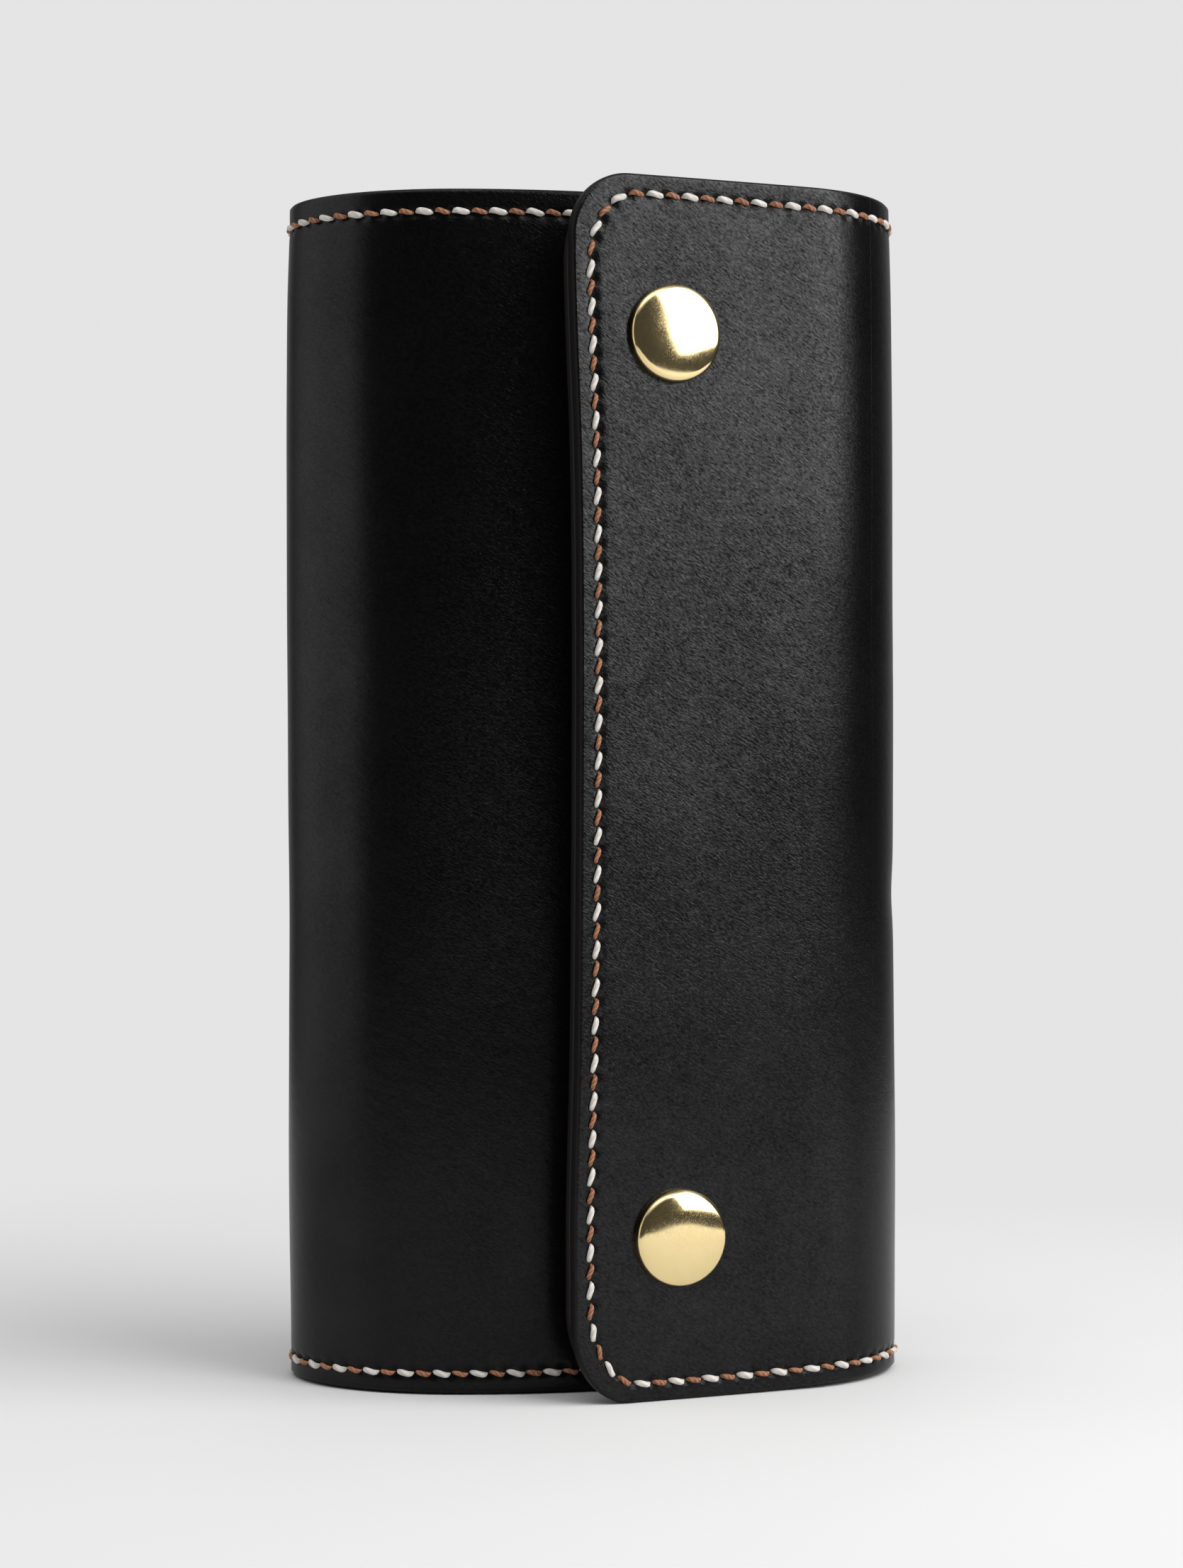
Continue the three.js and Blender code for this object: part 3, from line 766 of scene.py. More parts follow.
@dataclass
class Signal:
    """What comes out of a node, with the sums that finishes do on it where it is a number."""

    graph: "Graph"
    socket: bpy.types.NodeSocket

    def math(self, operation: str, *others: object) -> "Signal":
        """A math node's result on this number, and on a second one where that is given."""
        return self.graph.node("Math", dict(enumerate((self, *others))), operation=operation)

    def __add__(self, other: object) -> "Signal":
        """The sum."""
        return self.math("ADD", other)

    def __sub__(self, other: object) -> "Signal":
        """The difference."""
        return self.math("SUBTRACT", other)

    def __rsub__(self, other: object) -> "Signal":
        """The difference the other way round."""
        return self.graph.node("Math", {0: other, 1: self}, operation="SUBTRACT")

    def __mul__(self, other: object) -> "Signal":
        """The product."""
        return self.math("MULTIPLY", other)

    def __truediv__(self, other: object) -> "Signal":
        """The quotient."""
        return self.math("DIVIDE", other)

    def __abs__(self) -> "Signal":
        """The size without the sign."""
        return self.math("ABSOLUTE")

    def larger(self, other: object) -> "Signal":
        """The larger of two numbers."""
        return self.math("MAXIMUM", other)

    def between(self, low: float, high: float, to_low: float, to_high: float) -> "Signal":
        """The number carried from one range to another and held there."""
        return self.graph.node("MapRange", {0: self, 1: low, 2: high, 3: to_low, 4: to_high})

    def rise(self, low: float, high: float, to: float = 1.0) -> "Signal":
        """A soft step from 0 to a level."""
        ends = {0: self, 1: low, 2: high, 3: 0.0, 4: to}
        return self.graph.node("MapRange", ends, interpolation_type="SMOOTHSTEP")


class Graph:
    """The nodes of a material or of the world, added one after another."""

    def __init__(self, owner: bpy.types.Material | bpy.types.World) -> None:
        """Starts with no nodes.

        Args:
            owner: The material or the world.
        """
        self.owner = owner
        owner.use_nodes = True
        self.tree = owner.node_tree
        self.tree.nodes.clear()

    def node(
        self, kind: str, inputs: dict | None = None, output: int | str = 0, **settings: object
    ) -> Signal | None:
        """Adds a node.

        Args:
            kind: Its type, without the ShaderNode in front.
            inputs: Values or signals for its inputs, by name or number.
            output: The output to go on from, by name or number.
            settings: Values for its own properties.

        Returns:
            The output, or nothing where the node has none.
        """
        made = self.tree.nodes.new("ShaderNode" + kind)
        for key, value in settings.items():
            setattr(made, key, value)
        for key, value in (inputs or {}).items():
            if isinstance(value, Signal):
                self.tree.links.new(value.socket, made.inputs[key])
            else:
                made.inputs[key].default_value = value
        return Signal(self, made.outputs[output]) if len(made.outputs) else None

    def parts(self, at: Signal) -> list[Signal]:
        """The three numbers of a vector."""
        return [Signal(self, socket) for socket in self.node("SeparateXYZ", {0: at}).socket.node.outputs]

    def here(self, kind: str = "Object") -> Signal:
        """Texture coordinates."""
        return self.node("TexCoord", output=kind)

    def attribute(self, name: str, output: str = "Fac") -> Signal:
        """Numbers kept at the mesh's points."""
        return self.node("Attribute", output=output, attribute_name=name)

    def mix(self, share: Signal, a: object, b: object) -> Signal:
        """A colour between two colours."""
        return self.node("Mix", {0: share, 6: a, 7: b}, 2, data_type="RGBA")

    def noise(self, at: Signal, size: float, detail: float, roughness: float, twist: float = 0.0) -> Signal:
        """Cloudy noise whose features are about a size, in the units of the coordinates."""
        form = {"Scale": 1 / size, "Detail": detail, "Roughness": roughness, "Distortion": twist}
        return self.node("TexNoise", {"Vector": at} | form)

    def stretched(self, at: Signal, turn: tuple, scale: tuple) -> Signal:
        """Coordinates turned and then scaled, so that a pattern is drawn out one way."""
        turned = self.node("Mapping", {"Vector": at, "Rotation": turn})
        return self.node("Mapping", {"Vector": turned, "Scale": scale})

    def bump(self, height: Signal, distance: float, strength: object, normal: Signal | None = None) -> Signal:
        """A bumpy normal, over another one where that is given."""
        under = {"Normal": normal} if normal else {}
        return self.node("Bump", {"Height": height, "Distance": distance, "Strength": strength} | under)

    def surface(self, inputs: dict) -> bpy.types.Material:
        """Ends the material in a principled surface with these inputs."""
        self.node("OutputMaterial", {0: self.node("BsdfPrincipled", inputs)})
        return self.owner


def rgb(red: float, green: float, blue: float) -> tuple[float, float, float, float]:
    """An opaque colour."""
    return (red, green, blue, 1.0)


@dataclass(frozen=True)
class LeatherFinish:
    """Vegetable-tanned leather: dyed through, waxed, with a fine drawn-out grain and burnished edges.

    Sizes are millimetres on the sheet, and the depths of the bumps metres. A form is a noise's detail and
    roughness, and its twist where it has one. A span is the stretch of a noise that takes a value from its
    first end to its last.
    """

    name: str = "black_leather"
    dye: tuple = rgb(0.0016, 0.0016, 0.0018)
    worn: tuple = rgb(0.0034, 0.0033, 0.0036)
    # Cut-edge colour: the cover's real burnish, lighter than its dye; on the lining a darker painted shade.
    burnish: tuple = rgb(0.0090, 0.0078, 0.0072)
    # Near-black painted shade for the stitch holes, where the coat of wax is left off too.
    hole: tuple = rgb(0.001, 0.001, 0.001)
    shine: Pair = (0.27, 0.33)
    edge_roughness: float = 0.42
    hole_roughness: float = 0.4
    grain_turn: float = math.radians(-30)
    grain_size: float = 0.72
    grain_form: tuple = (2.0, 0.65, 0.6)
    grain_draw: float = 2.3
    grain_depth: float = 0.00005
    wrinkle_turn: float = -0.5
    wrinkle_size: float = 3.2
    wrinkle_draw: float = 1.7
    wrinkle_depth: float = 0.00005
    wrinkle_strength: float = 0.7
    wrinkle_rub: float = 0.35
    cloud_size: float = 15.0
    soft_form: Pair = (3.0, 0.55)
    specular: float = 0.085
    worn_span: Pair = (0.4, 0.65)
    shine_span: Pair = (0.45, 0.85)
    wax: Pair = (-0.03, 0.40)
    wax_span: Pair = (0.1, 0.7)
    wax_roughness: float = 0.17
    wax_ior: float = 1.8
    wax_base: float = 0.25
    cloud_share: float = 0.3
    pore_share: float = 1.7
    fold_share: float = 0.5

    def material(self) -> bpy.types.Material:
        """Builds the material.

        Grain and wrinkles are bumps. They also break up the film of wax, which lies over the dyed leather as
        a coat, is missing on cut edges and in stitch holes, and is thinner where the cover is worn.

        Returns:
            The new material.
        """
        g = Graph(bpy.data.materials.new(self.name))
        sheet = g.attribute("sheet", "Vector")
        show, edge, hole, left = (g.attribute(name) for name in ("grain", "edge", "hole", "wax"))
        drawn = g.stretched(sheet, (0.0, 0.0, self.grain_turn), (1.0, self.grain_draw, 1.0))
        pulled = g.stretched(sheet, (0.0, 0.0, self.wrinkle_turn), (1.0, self.wrinkle_draw, 1.0))
        grain = g.noise(drawn, self.grain_size, *self.grain_form)
        wrinkles = g.noise(pulled, self.wrinkle_size, *self.soft_form)
        cloud = g.noise(sheet, self.cloud_size, *self.soft_form)
        pores = g.bump(grain, self.grain_depth, show)
        wavy = g.bump(wrinkles, self.wrinkle_depth, self.wrinkle_strength, pores)
        dyed = g.mix(grain.between(*self.worn_span, 0.0, 1.0), self.dye, self.worn)
        rubbed = (cloud + wrinkles * self.wrinkle_rub).between(*self.shine_span, *self.shine)
        texture = (grain - 0.5) * self.pore_share + (wrinkles - 0.5) * self.fold_share
        mottle = cloud * self.cloud_share + self.wax_base + texture * show
        bare = edge.larger(hole)
        return g.surface({
            # The hole attribute paints the stitch holes near black as shade over the leather's colour.
            "Base Color": g.mix(hole, g.mix(edge, dyed, self.burnish), self.hole),
            "Roughness": rubbed * (1.0 - edge) + edge * self.edge_roughness + hole * self.hole_roughness,
            "Normal": wavy,
            "Specular IOR Level": self.specular,
            "Coat Weight": mottle.between(*self.wax_span, *self.wax) * ((1.0 - bare) * left),
            "Coat Roughness": self.wax_roughness,
            "Coat IOR": self.wax_ior,
            "Coat Normal": wavy,
        })


@dataclass(frozen=True)
class ThreadFinish:
    """Waxed linen thread, laid in strands that wind round it. The bump and the fibre are in metres."""

    name: str
    pale: tuple
    deep_tone_and_shade: tuple
    roughness: float
    strand: float
    bump: float
    bump_strength: float = 0.8
    strand_height: float = 0.5
    fibre: float = 0.00022
    fibre_form: Pair = (3.0, 0.6)
    # Painted shade: darker where the thread dives into its holes, and in the grooves between strands.
    dark_ends: Pair = (1.1, 1.6)
    end_shade: float = 0.75
    groove_shade: float = 0.55
    luck_shade: float = 0.12
    specular: float = 0.4

    def material(self) -> bpy.types.Material:
        """Builds the material: strands as slanting stripes along the thread, fibres as fine noise, and
        painted shade.

        Returns:
            The new material.
        """
        g = Graph(bpy.data.materials.new(self.name))
        along, around, luck = g.parts(g.attribute("thread", "Vector"))
        phase = (along / self.strand + around * 2.0) * (2 * math.pi)
        fibres = g.noise(g.here(), self.fibre, *self.fibre_form)
        height = phase.math("SINE") * self.strand_height + fibres
        # The deep colour is painted shade at the ends and in the strands' grooves, with a random tone per
        # stitch from luck.
        ends = abs(along).between(*self.dark_ends, 0.0, self.end_shade)
        shade = height.between(0.0, 1.0, self.groove_shade, 0.0) + luck * self.luck_shade
        colour = g.mix(shade.larger(ends), self.pale, self.deep_tone_and_shade)
        normal = g.bump(height, self.bump, self.bump_strength)
        return g.surface({"Base Color": colour, "Roughness": self.roughness, "Normal": normal,
                          "Specular IOR Level": self.specular})


@dataclass(frozen=True)
class MetalFinish:
    """Polished metal with fine rubbing marks. Sizes are metres, forms and spans as for leather."""

    name: str
    colour: tuple
    dull: tuple
    roughness: Pair
    haze: float = 0.09
    film_size: float = 0.004
    film_form: Pair = (3.0, 0.6)
    film_span: Pair = (0.35, 0.75)
    dull_span: Pair = (0.45, 0.8)
    dull_share: float = 0.6
    mark_size: float = 0.0012
    mark_form: Pair = (2.0, 0.6)
    mark_turn: tuple = (0.3, 0.8, 0.5)
    mark_draw: tuple = (1.0, 9.0, 3.0)
    mark_depth: float = 0.000004
    mark_strength: float = 0.4
    speck_size: float = 0.00018
    speck_form: Pair = (1.0, 0.5)
    speck_span: Pair = (0.5, 0.7)

    def material(self) -> bpy.types.Material:
        """Builds the material: rubbing marks as a faint bump, a film and fine specks as roughness.

        Returns:
            The new material.
        """
        g = Graph(bpy.data.materials.new(self.name))
        here = g.here()
        film = g.noise(here, self.film_size, *self.film_form)
        rubbed = g.stretched(here, self.mark_turn, self.mark_draw)
        marks = g.noise(rubbed, self.mark_size, *self.mark_form)
        specks = g.noise(here, self.speck_size, *self.speck_form)
        haze = specks.between(*self.speck_span, 0.0, self.haze)
        rough = film.between(*self.film_span, *self.roughness) + haze
        colour = g.mix(film.between(*self.dull_span, 0.0, self.dull_share), self.colour, self.dull)
        normal = g.bump(marks, self.mark_depth, self.mark_strength)
        return g.surface({"Base Color": colour, "Metallic": 1.0, "Roughness": rough, "Normal": normal})


BLACK = LeatherFinish()
# The lining's cut edges are painted near black as shade, darker than the lining's own brown.
LINING = LeatherFinish(
    "lining_leather", dye=rgb(0.016, 0.0115, 0.009), worn=rgb(0.030, 0.022, 0.017),
    burnish=rgb(0.0060, 0.0050, 0.0045), shine=(0.58, 0.72), edge_roughness=0.5, specular=0.2,
    wax=(0.0, 0.02))
# The second colour of each thread is its deeper tone and its painted shade.
WHITE_THREAD = ThreadFinish(
    "thread_white", rgb(0.78, 0.74, 0.69), rgb(0.45, 0.40, 0.36), roughness=0.45, strand=1.9, bump=0.00005)
BROWN_THREAD = ThreadFinish(
    "thread_brown", rgb(0.44, 0.195, 0.10), rgb(0.10, 0.032, 0.014), roughness=0.55, strand=0.9, bump=0.00010)
BRASS = MetalFinish("polished_brass", rgb(0.89, 0.71, 0.37), rgb(0.82, 0.63, 0.31), (0.08, 0.14))
STEEL = MetalFinish("spring_steel", rgb(0.60, 0.60, 0.59), rgb(0.50, 0.50, 0.50), (0.25, 0.35))
BROWN_STITCH = StitchForm(reach=1.40, half_width=0.43, half_height=0.38)
EDGE_STITCHES = ((WHITE_THREAD, StitchForm()), (BROWN_THREAD, BROWN_STITCH))
POCKET_STITCH = StitchForm(half_width=0.5, half_height=0.36, lift=0.12)

Finish = LeatherFinish | ThreadFinish | MetalFinish


class Dresser:
    """Makes pieces of shapes, and makes each finish once and puts it on them."""

    def __init__(self) -> None:
        """Starts with no finish made."""
        self.made: dict[str, bpy.types.Material] = {}

    def add(self, shape: Shape, name: str, finish: Finish, slot: Slot, *nodes: str) -> bpy.types.Object:
        """Makes a piece with its finish.

        Args:
            shape: Its shape.
            name: Its name.
            finish: Its finish.
            slot: The record's material slot; not used.
            nodes: The solids that it stands for.

        Returns:
            The piece, which doesn't move with any body yet.
        """
        piece = shape.to_object(name)
        if finish.name not in self.made:
            self.made[finish.name] = finish.material()
        piece.data.materials.append(self.made[finish.name])
        if nodes:
            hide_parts(*nodes)
        LOG.info("%s: %d faces, %s", name, len(piece.data.polygons), finish.name)
        return piece


@dataclass(frozen=True)
class Zone:
    """A stretch of the wrap: on one body, or on a bend between one body and the next."""

    name: str
    start: float
    stop: float
    ends: tuple[End, End]
    bodies: tuple[str, ...]
    bend: tuple = ()

    def carry(self, piece: bpy.types.Object) -> None:
        """Hangs a piece on the stretch's one body; on a bend it only bakes the piece's place into its mesh.

        Args:
            piece: The piece.
        """
        if self.bend:
            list(self.bodies)
            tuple(self.bend[0])
            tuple(self.bend[1])
            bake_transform(piece)
        else:
            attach(piece, self.bodies[0])


@dataclass(frozen=True)
class Wear:
    """A patch of the cover with some of its wax rubbed off, fading out over a margin round it."""

    along: Pair
    height: Pair
    fade: Pair
    share: float

    def left(self, u: Array, z: Array) -> Array:
        """The share of the wax that is left: 1 less the patch's share, eased to nothing over its margin.

        Args:
            u: Places along the sheet.
            z: Heights.

        Returns:
            One share for each place.
        """
        inside = 1.0
        for value, (low, high), fade in zip((u, z), (self.along, self.height), self.fade):
            inside = inside * ease(value, low - fade, low) * (1 - ease(value, high, high + fade))
        return 1 - self.share * inside


@dataclass(frozen=True)
class Crease:
    """A short shallow trough in the cover, on a curve through three places of the sheet."""

    places: tuple[Pair, Pair, Pair]
    width: float
    depth: float
    points: int = 30

    def height(self, at: Array) -> Array:
        """How far the face stands out: minus the depth on the curve, fading over the width beside it.

        Args:
            at: Points of the sheet, one row of two numbers each.

        Returns:
            One height for each point, never above 0.
        """
        t = np.linspace(0.0, 1.0, self.points)
        ways = [through(list(zip((0.0, 0.5, 1.0), way)), t) for way in zip(*self.places)]
        return -self.depth * bump(nearest(at, np.column_stack(ways)), self.width)


@dataclass
class Leather:
    """The wrap's cover and lining, the stitches along its edges, and the relief that they press into it."""

    wrap: Wrap
    dresser: Dresser
    caps: Knots
    bend_lead: float = 3.0
    cover_lip: float = 0.42
    lining_lip: float = 0.5
    gap: float = 0.05
    trim: float = 0.25
    flap_rows: int = 321
    plain_rows: int = 56
    edge_rows: int = 17
    edge_band: float = 7.5
    lining_rows: int = 80
    front_seed: int = 11
    back_seed: int = 23
    groove: float = 0.08
    groove_width: float = 1.1
    hole: float = 0.42
    hole_width: float = 0.68
    # How dark the painted shade round each stitch hole is, and how far it reaches.
    hole_shade: float = 0.9
    shade_width: float = 0.5
    press: float = 0.10
    press_radius: float = 8.3
    flange_start: float = 8.0
    flange_stop_x: float = 33.0
    flange_face: float = 6.5
    mouth_corner: Corner = Corner(8.0, 8.0)
    lining_corners: tuple[Corner, Corner] = (Corner(12.0, 13.5), Corner(12.0, 14.0))
    least_grain: float = 0.25
    flap_grain: float = 0.75
    front_grain: Pair = (0.5, 0.8)
    front_grain_rise: Pair = (45.0, 95.0)
    front_grain_fade: Pair = (-6.0, 17.0)
    grain_by_height: Knots = ((0, 0.4), (40, 0.55), (75, 0.95), (110, 1.05), (150, 0.9), (192, 0.8))

    def __post_init__(self) -> None:
        """Settles the zones, the wear, the creases and the seam."""
        w, m = self.wrap, self.wrap.marks
        crest, tip, bend = m["crest"], m["left_tip"], m["right_tip"]
        half = (90 - math.degrees(w.slope)) / 2
        half_back = m["back_bend"] + w.back_bend * math.pi / 4
        half_front = bend + w.front_bend * math.radians(half)
        cuts = [0.0, m["back_bend"] - self.bend_lead, half_back, bend, half_front, w.length]
        names = ("body", "back_strip", "side_strip", "front_strip", "flap")
        turns = (("back", 90, 45), ("back", 45, 0), ("front", 0, -half), ("front", -half, -2 * half))
        self.zones = [Zone(names[0], *cuts[:2], (End.FREE, End.BUTT), names[:1])]
        for i, (side, start, stop) in enumerate(turns, 1):
            ends = (End.BUTT, End.FREE if names[i] == "flap" else End.BUTT)
            points = (w.bend_point(side, start), w.bend_point(side, stop))
            self.zones.append(Zone(names[i], *cuts[i:i + 2], ends, names[i - 1:i + 1], points))
        whole_height = (0.0, 192.0)
        self.wear = [
            Wear((0.0, crest), whole_height, (20.0, 1.0), 0.36),
            Wear((0.0, 27.0), whole_height, (9.0, 1.0), 0.6),
            Wear((0.0, crest + 6.0), (0.0, 48.0), (12.0, 45.0), 0.25),
            Wear((crest + 14.0, tip), (0.0, 60.0), (12.0, 50.0), 0.30),
            Wear((bend, bend + 18.0), (0.0, 42.0), (6.0, 26.0), 0.5),
            Wear((bend + 15.0, bend + 24.0), (92.0, 124.0), (8.0, 20.0), 0.4),
        ]
        self.creases = [
            Crease(((bend + 14.6, 119.5), (bend + 9.6, 116.3), (bend + 3.1, 115.6)), 1.3, 0.04),
            Crease(((bend + 33.1, 186.2), (bend + 38.0, 185.4), (bend + 43.5, 186.6)), 1.0, 0.10),
        ]
        self.seam = EdgeSeam(w).build()
        self.holes, self.line = self.seam.holes(), self.seam.line()

    def relief(self, u: Array, z: Array) -> tuple[Array, Array]:
        """The cover's small relief: the seam's groove, a dimple at each hole, creases and a dip at each cap.

        Args:
            u: Places along the sheet.
            z: Heights.

        Returns:
            How far the face stands out, and how much painted shade darkens it round the holes.
        """
        at = np.column_stack([u, z])
        hole = nearest(at, self.holes)
        height = -self.groove * bump(nearest(at, self.line), self.groove_width)
        height -= self.hole * bump(hole, self.hole_width)
        height += sum(crease.height(at) for crease in self.creases)
        for cap_u, cap_z in self.caps:
            height -= self.press * bump(np.hypot(u - cap_u, z - cap_z), self.press_radius, power=6)
        return height, self.hole_shade * bump(hole, self.shade_width)

    def grain(self, u: Array, z: Array) -> Array:
        """How plainly the grain shows.

        It shows most on the upper halves of the front panel and the flap, and least round the left fold and
        on the back.

        Args:
            u: Places along the sheet.
            z: Heights.

        Returns:
            One strength for each place.
        """
        m = self.wrap.marks
        least, more = self.front_grain
        fold = ease(u, *(m["crest"] + fade for fade in self.front_grain_fade))
        front = (least + more * ease(z, *self.front_grain_rise)) * (1 - fold)
        flap = self.flap_grain * ease(u, m["right_tip"], m["flap_root"])
        return (self.least_grain + front + flap) * through(self.grain_by_height, z)

    def rows(self, zone: Zone) -> Array:
        """Where a zone's rows lie: close on the flap and the strip beside it, else close at the seams only.

        Args:
            zone: The zone.

        Returns:
            Shares of the height, from 0 to 1.
        """
        if zone.name in ("front_strip", "flap"):
            return np.linspace(0.0, 1.0, self.flap_rows)
        edge = np.linspace(0.0, self.edge_band, self.edge_rows) / self.wrap.height
        middle = np.linspace(edge[-1], 1 - edge[-1], self.plain_rows)[1:-1]
        return np.concatenate([edge, middle, 1 - edge[::-1]])

    def build(self) -> None:
        """Makes the cover, the lining and the stitches of every zone."""
        for zone in self.zones:
            self.cover(zone)
            self.lining(zone)
            self.stitches(zone)

    def corners(self, zone: Zone, top: Corner, bottom: Corner) -> dict[str, Corner]:
        """A zone's corners: the given ones on the flap, and the mouth's own on the body.

        Args:
            zone: The zone.
            top: The flap's top corner.
            bottom: The flap's bottom corner.

        Returns:
            The corners by the names that a slab has for them.
        """
        if zone.name == "body":
            top = bottom = self.mouth_corner
        return {"top_corner": top, "bottom_corner": bottom}

    def cover(self, zone: Zone) -> None:
        """Makes a zone's cover, with its relief, its grain and its worn wax.

        Args:
            zone: The zone.
        """
        w, corners = self.wrap, self.corners(zone, Slab.top_corner, Slab.bottom_corner)
        slab = Slab(zone.start, zone.stop, (0.0, w.cover), zone.ends, w.low, w.high, self.rows(zone),
                    self.cover_lip, **corners)
        shape = slab.shape(w.place, self.relief)
        u, z = shape.vectors["sheet"][:, :2].T
        shape.values["grain"] = self.grain(u, z)
        shape.values["wax"] = math.prod(wear.left(u, z) for wear in self.wear)
        name = "cover_leather_" + zone.name
        zone.carry(self.dresser.add(shape, name, BLACK, Slot.LEATHER, "cover_" + zone.name))

    def lining(self, zone: Zone) -> None:
        """Makes a zone's lining, trimmed a little inside the cover's edges.

        Args:
            zone: The zone.
        """
        w, trim = self.wrap, self.trim
        cut = [trim if end is End.FREE else 0.0 for end in zone.ends]
        slab = Slab(zone.start + cut[0], zone.stop - cut[1], (w.cover + self.gap, w.wall), zone.ends,
                    lambda u: w.low(u) + trim, lambda u: w.high(u) - trim,
                    np.linspace(0, 1, self.lining_rows), self.lining_lip, column_step=1.0, rim_steps=6,
                    **self.corners(zone, *self.lining_corners))
        name = "lining_leather_" + zone.name
        zone.carry(self.dresser.add(slab.shape(w.place), name, LINING, Slot.LINING, "lining_" + zone.name))

    def stitches(self, zone: Zone) -> None:
        """Makes a zone's stitches, white and brown, on both faces.

        Inside they lie on the gussets' flanges where there are some, and else on the lining.

        Args:
            zone: The zone.
        """
        w, numbers, seam = self.wrap, self.seam.numbers(), self.seam
        at = seam.at(seam.where(numbers))[:, 0]
        mine = (at >= zone.start) & (at < zone.stop)
        flange = (at > self.flange_start) & (at < w.marks["back"] + self.flange_stop_x - w.crest_x)
        under = np.where(flange, self.flange_face, w.wall)
        whole = zone.name in ("body", "flap")
        parts = [""] if whole else ["_top", "_bottom"]
        nodes = ["thread_" + zone.name + part for part in parts]
        for rest, (finish, form) in enumerate(EDGE_STITCHES):
            pick = mine & (numbers % 2 == rest)
            mid = numbers[pick]
            front = form.shape(seam, mid, np.zeros(len(mid)), w.place, 1.0, self.front_seed + rest)
            back = form.shape(seam, mid, under[pick], w.place, -1.0, self.back_seed + rest)
            stands_for = nodes if finish is WHITE_THREAD else []
            name = f"stitches_{zone.name}_{finish.name}"
            zone.carry(self.dresser.add(joined(front, back), name, finish, Slot.THREAD, *stands_for))


@dataclass
class Gusset:
    """One end gusset: a flange along the wrap's inside at the edge, turned in to a web across the clutch."""

    wrap: Wrap
    top: bool
    thickness: float = 1.4
    outside: float = 5.08
    height: float = 9.0
    turn: float = 2.6
    start: float = 8.0
    back_x: float = 33.0
    edges: Pair = (0.45, 189.65)
    spine: tuple = ((-37.0, 6.5), (17.0, 9.0))
    hollow: float = 3.0
    sag: float = 0.7
    least_turn: float = 0.5
    columns: int = 241
    flange_rows: int = 8
    turn_rows: int = 9
    web_rows: int = 15

    def skin(self, inside: float, lift: float) -> Array:
        """One face of the gusset as points on a grid.

        From the flange's edge the face runs straight along the wrap, turns through a quarter circle, and then
        goes in straight lines to a spine along the middle of the web, with a slight sag towards it. The web's
        free end is hollowed.

        Args:
            inside: Depth of the face's flange below the wrap's outer face.
            lift: How far the web's face lies beyond the web's inner side, towards the end.

        Returns:
            Points by column along the wrap and row from the edge to the spine.
        """
        w = self.wrap
        share = np.linspace(0.0, 1.0, self.columns)
        u = self.start + (w.marks["back"] + self.back_x - w.crest_x - self.start) * share
        sign, edge = (1.0, self.edges[1]) if self.top else (-1.0, self.edges[0])
        web = w.height - self.height + lift if self.top else self.height - lift
        radius = max(self.turn - lift, self.least_turn)
        a = np.linspace(0.0, QUARTER, self.turn_rows)[1:]
        straight = np.linspace(edge, web + sign * radius, self.flange_rows)
        z = np.concatenate([straight, web + sign * radius * (1 - np.sin(a))])
        depth = np.concatenate([np.full(self.flange_rows, inside), inside + radius * (1 - np.cos(a))])
        rim = w.place(*np.broadcast_arrays(u[:, None], z[None], depth[None]))
        foot = rim[:, -1]
        way = np.abs(1.0 - 2.0 * share)[:, None]
        (x0, y0), (x1, y1) = self.spine
        spine = np.hstack([x0 + (x1 - x0) * way, y0 + (y1 - y0) * way])
        r = np.linspace(0.0, 1.0, self.web_rows)[1:]
        flat = foot[:, None, :2] + (spine[:, None] - foot[:, None, :2]) * r[None, :, None]
        flat[..., 0] -= self.hollow * (1 - (1 - r) ** 2)[None] * way**4
        level = web - sign * self.sag * np.sin(QUARTER * r) ** 2
        return np.concatenate([rim, np.dstack([flat, np.broadcast_to(level, flat.shape[:2])])], 1)

    def build(self, dresser: Dresser) -> None:
        """Makes the gusset from its two faces and a strip round its cut edge.

        Both halves of a face share the points of the spine.

        Args:
            dresser: Puts the finishes on.
        """
        far, near = self.skin(self.outside, 0.0), self.skin(self.outside + self.thickness, self.thickness)
        columns, rows = far.shape[:2]
        index = np.arange(columns * rows).reshape(columns, rows)
        fold = np.minimum(np.arange(columns), columns - 1 - np.arange(columns))
        index[:, -1] = index[fold, -1]
        back = index + columns * rows
        path = np.concatenate([index[0, ::-1], index[1:, 0], index[-1, 1:]])
        other = path + columns * rows
        strip = np.stack([path[:-1], path[1:], other[1:], other[:-1]], -1)
        quads = [grid_faces(index), grid_faces(back)[:, ::-1], strip]
        if self.top:
            quads = [q[:, ::-1] for q in quads]
        used, flat = np.unique(np.concatenate([q.ravel() for q in quads]), return_inverse=True)
        parts = [p.reshape(-1, 4) for p in np.split(flat, np.cumsum([q.size for q in quads])[:-1])]
        points = np.concatenate([far.reshape(-1, 3), near.reshape(-1, 3)])[used]
        none, full = np.zeros(len(points)), np.ones(len(points))
        values = {"edge": none, "hole": none, "grain": 0.5 * full, "wax": full}
        shape = Shape(points, list(zip(parts, (True, True, False))), {"sheet": points}, values)
        name = "gusset_top" if self.top else "gusset_bottom"
        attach(dresser.add(shape, "leather_" + name, BLACK, Slot.LEATHER, name), "body")


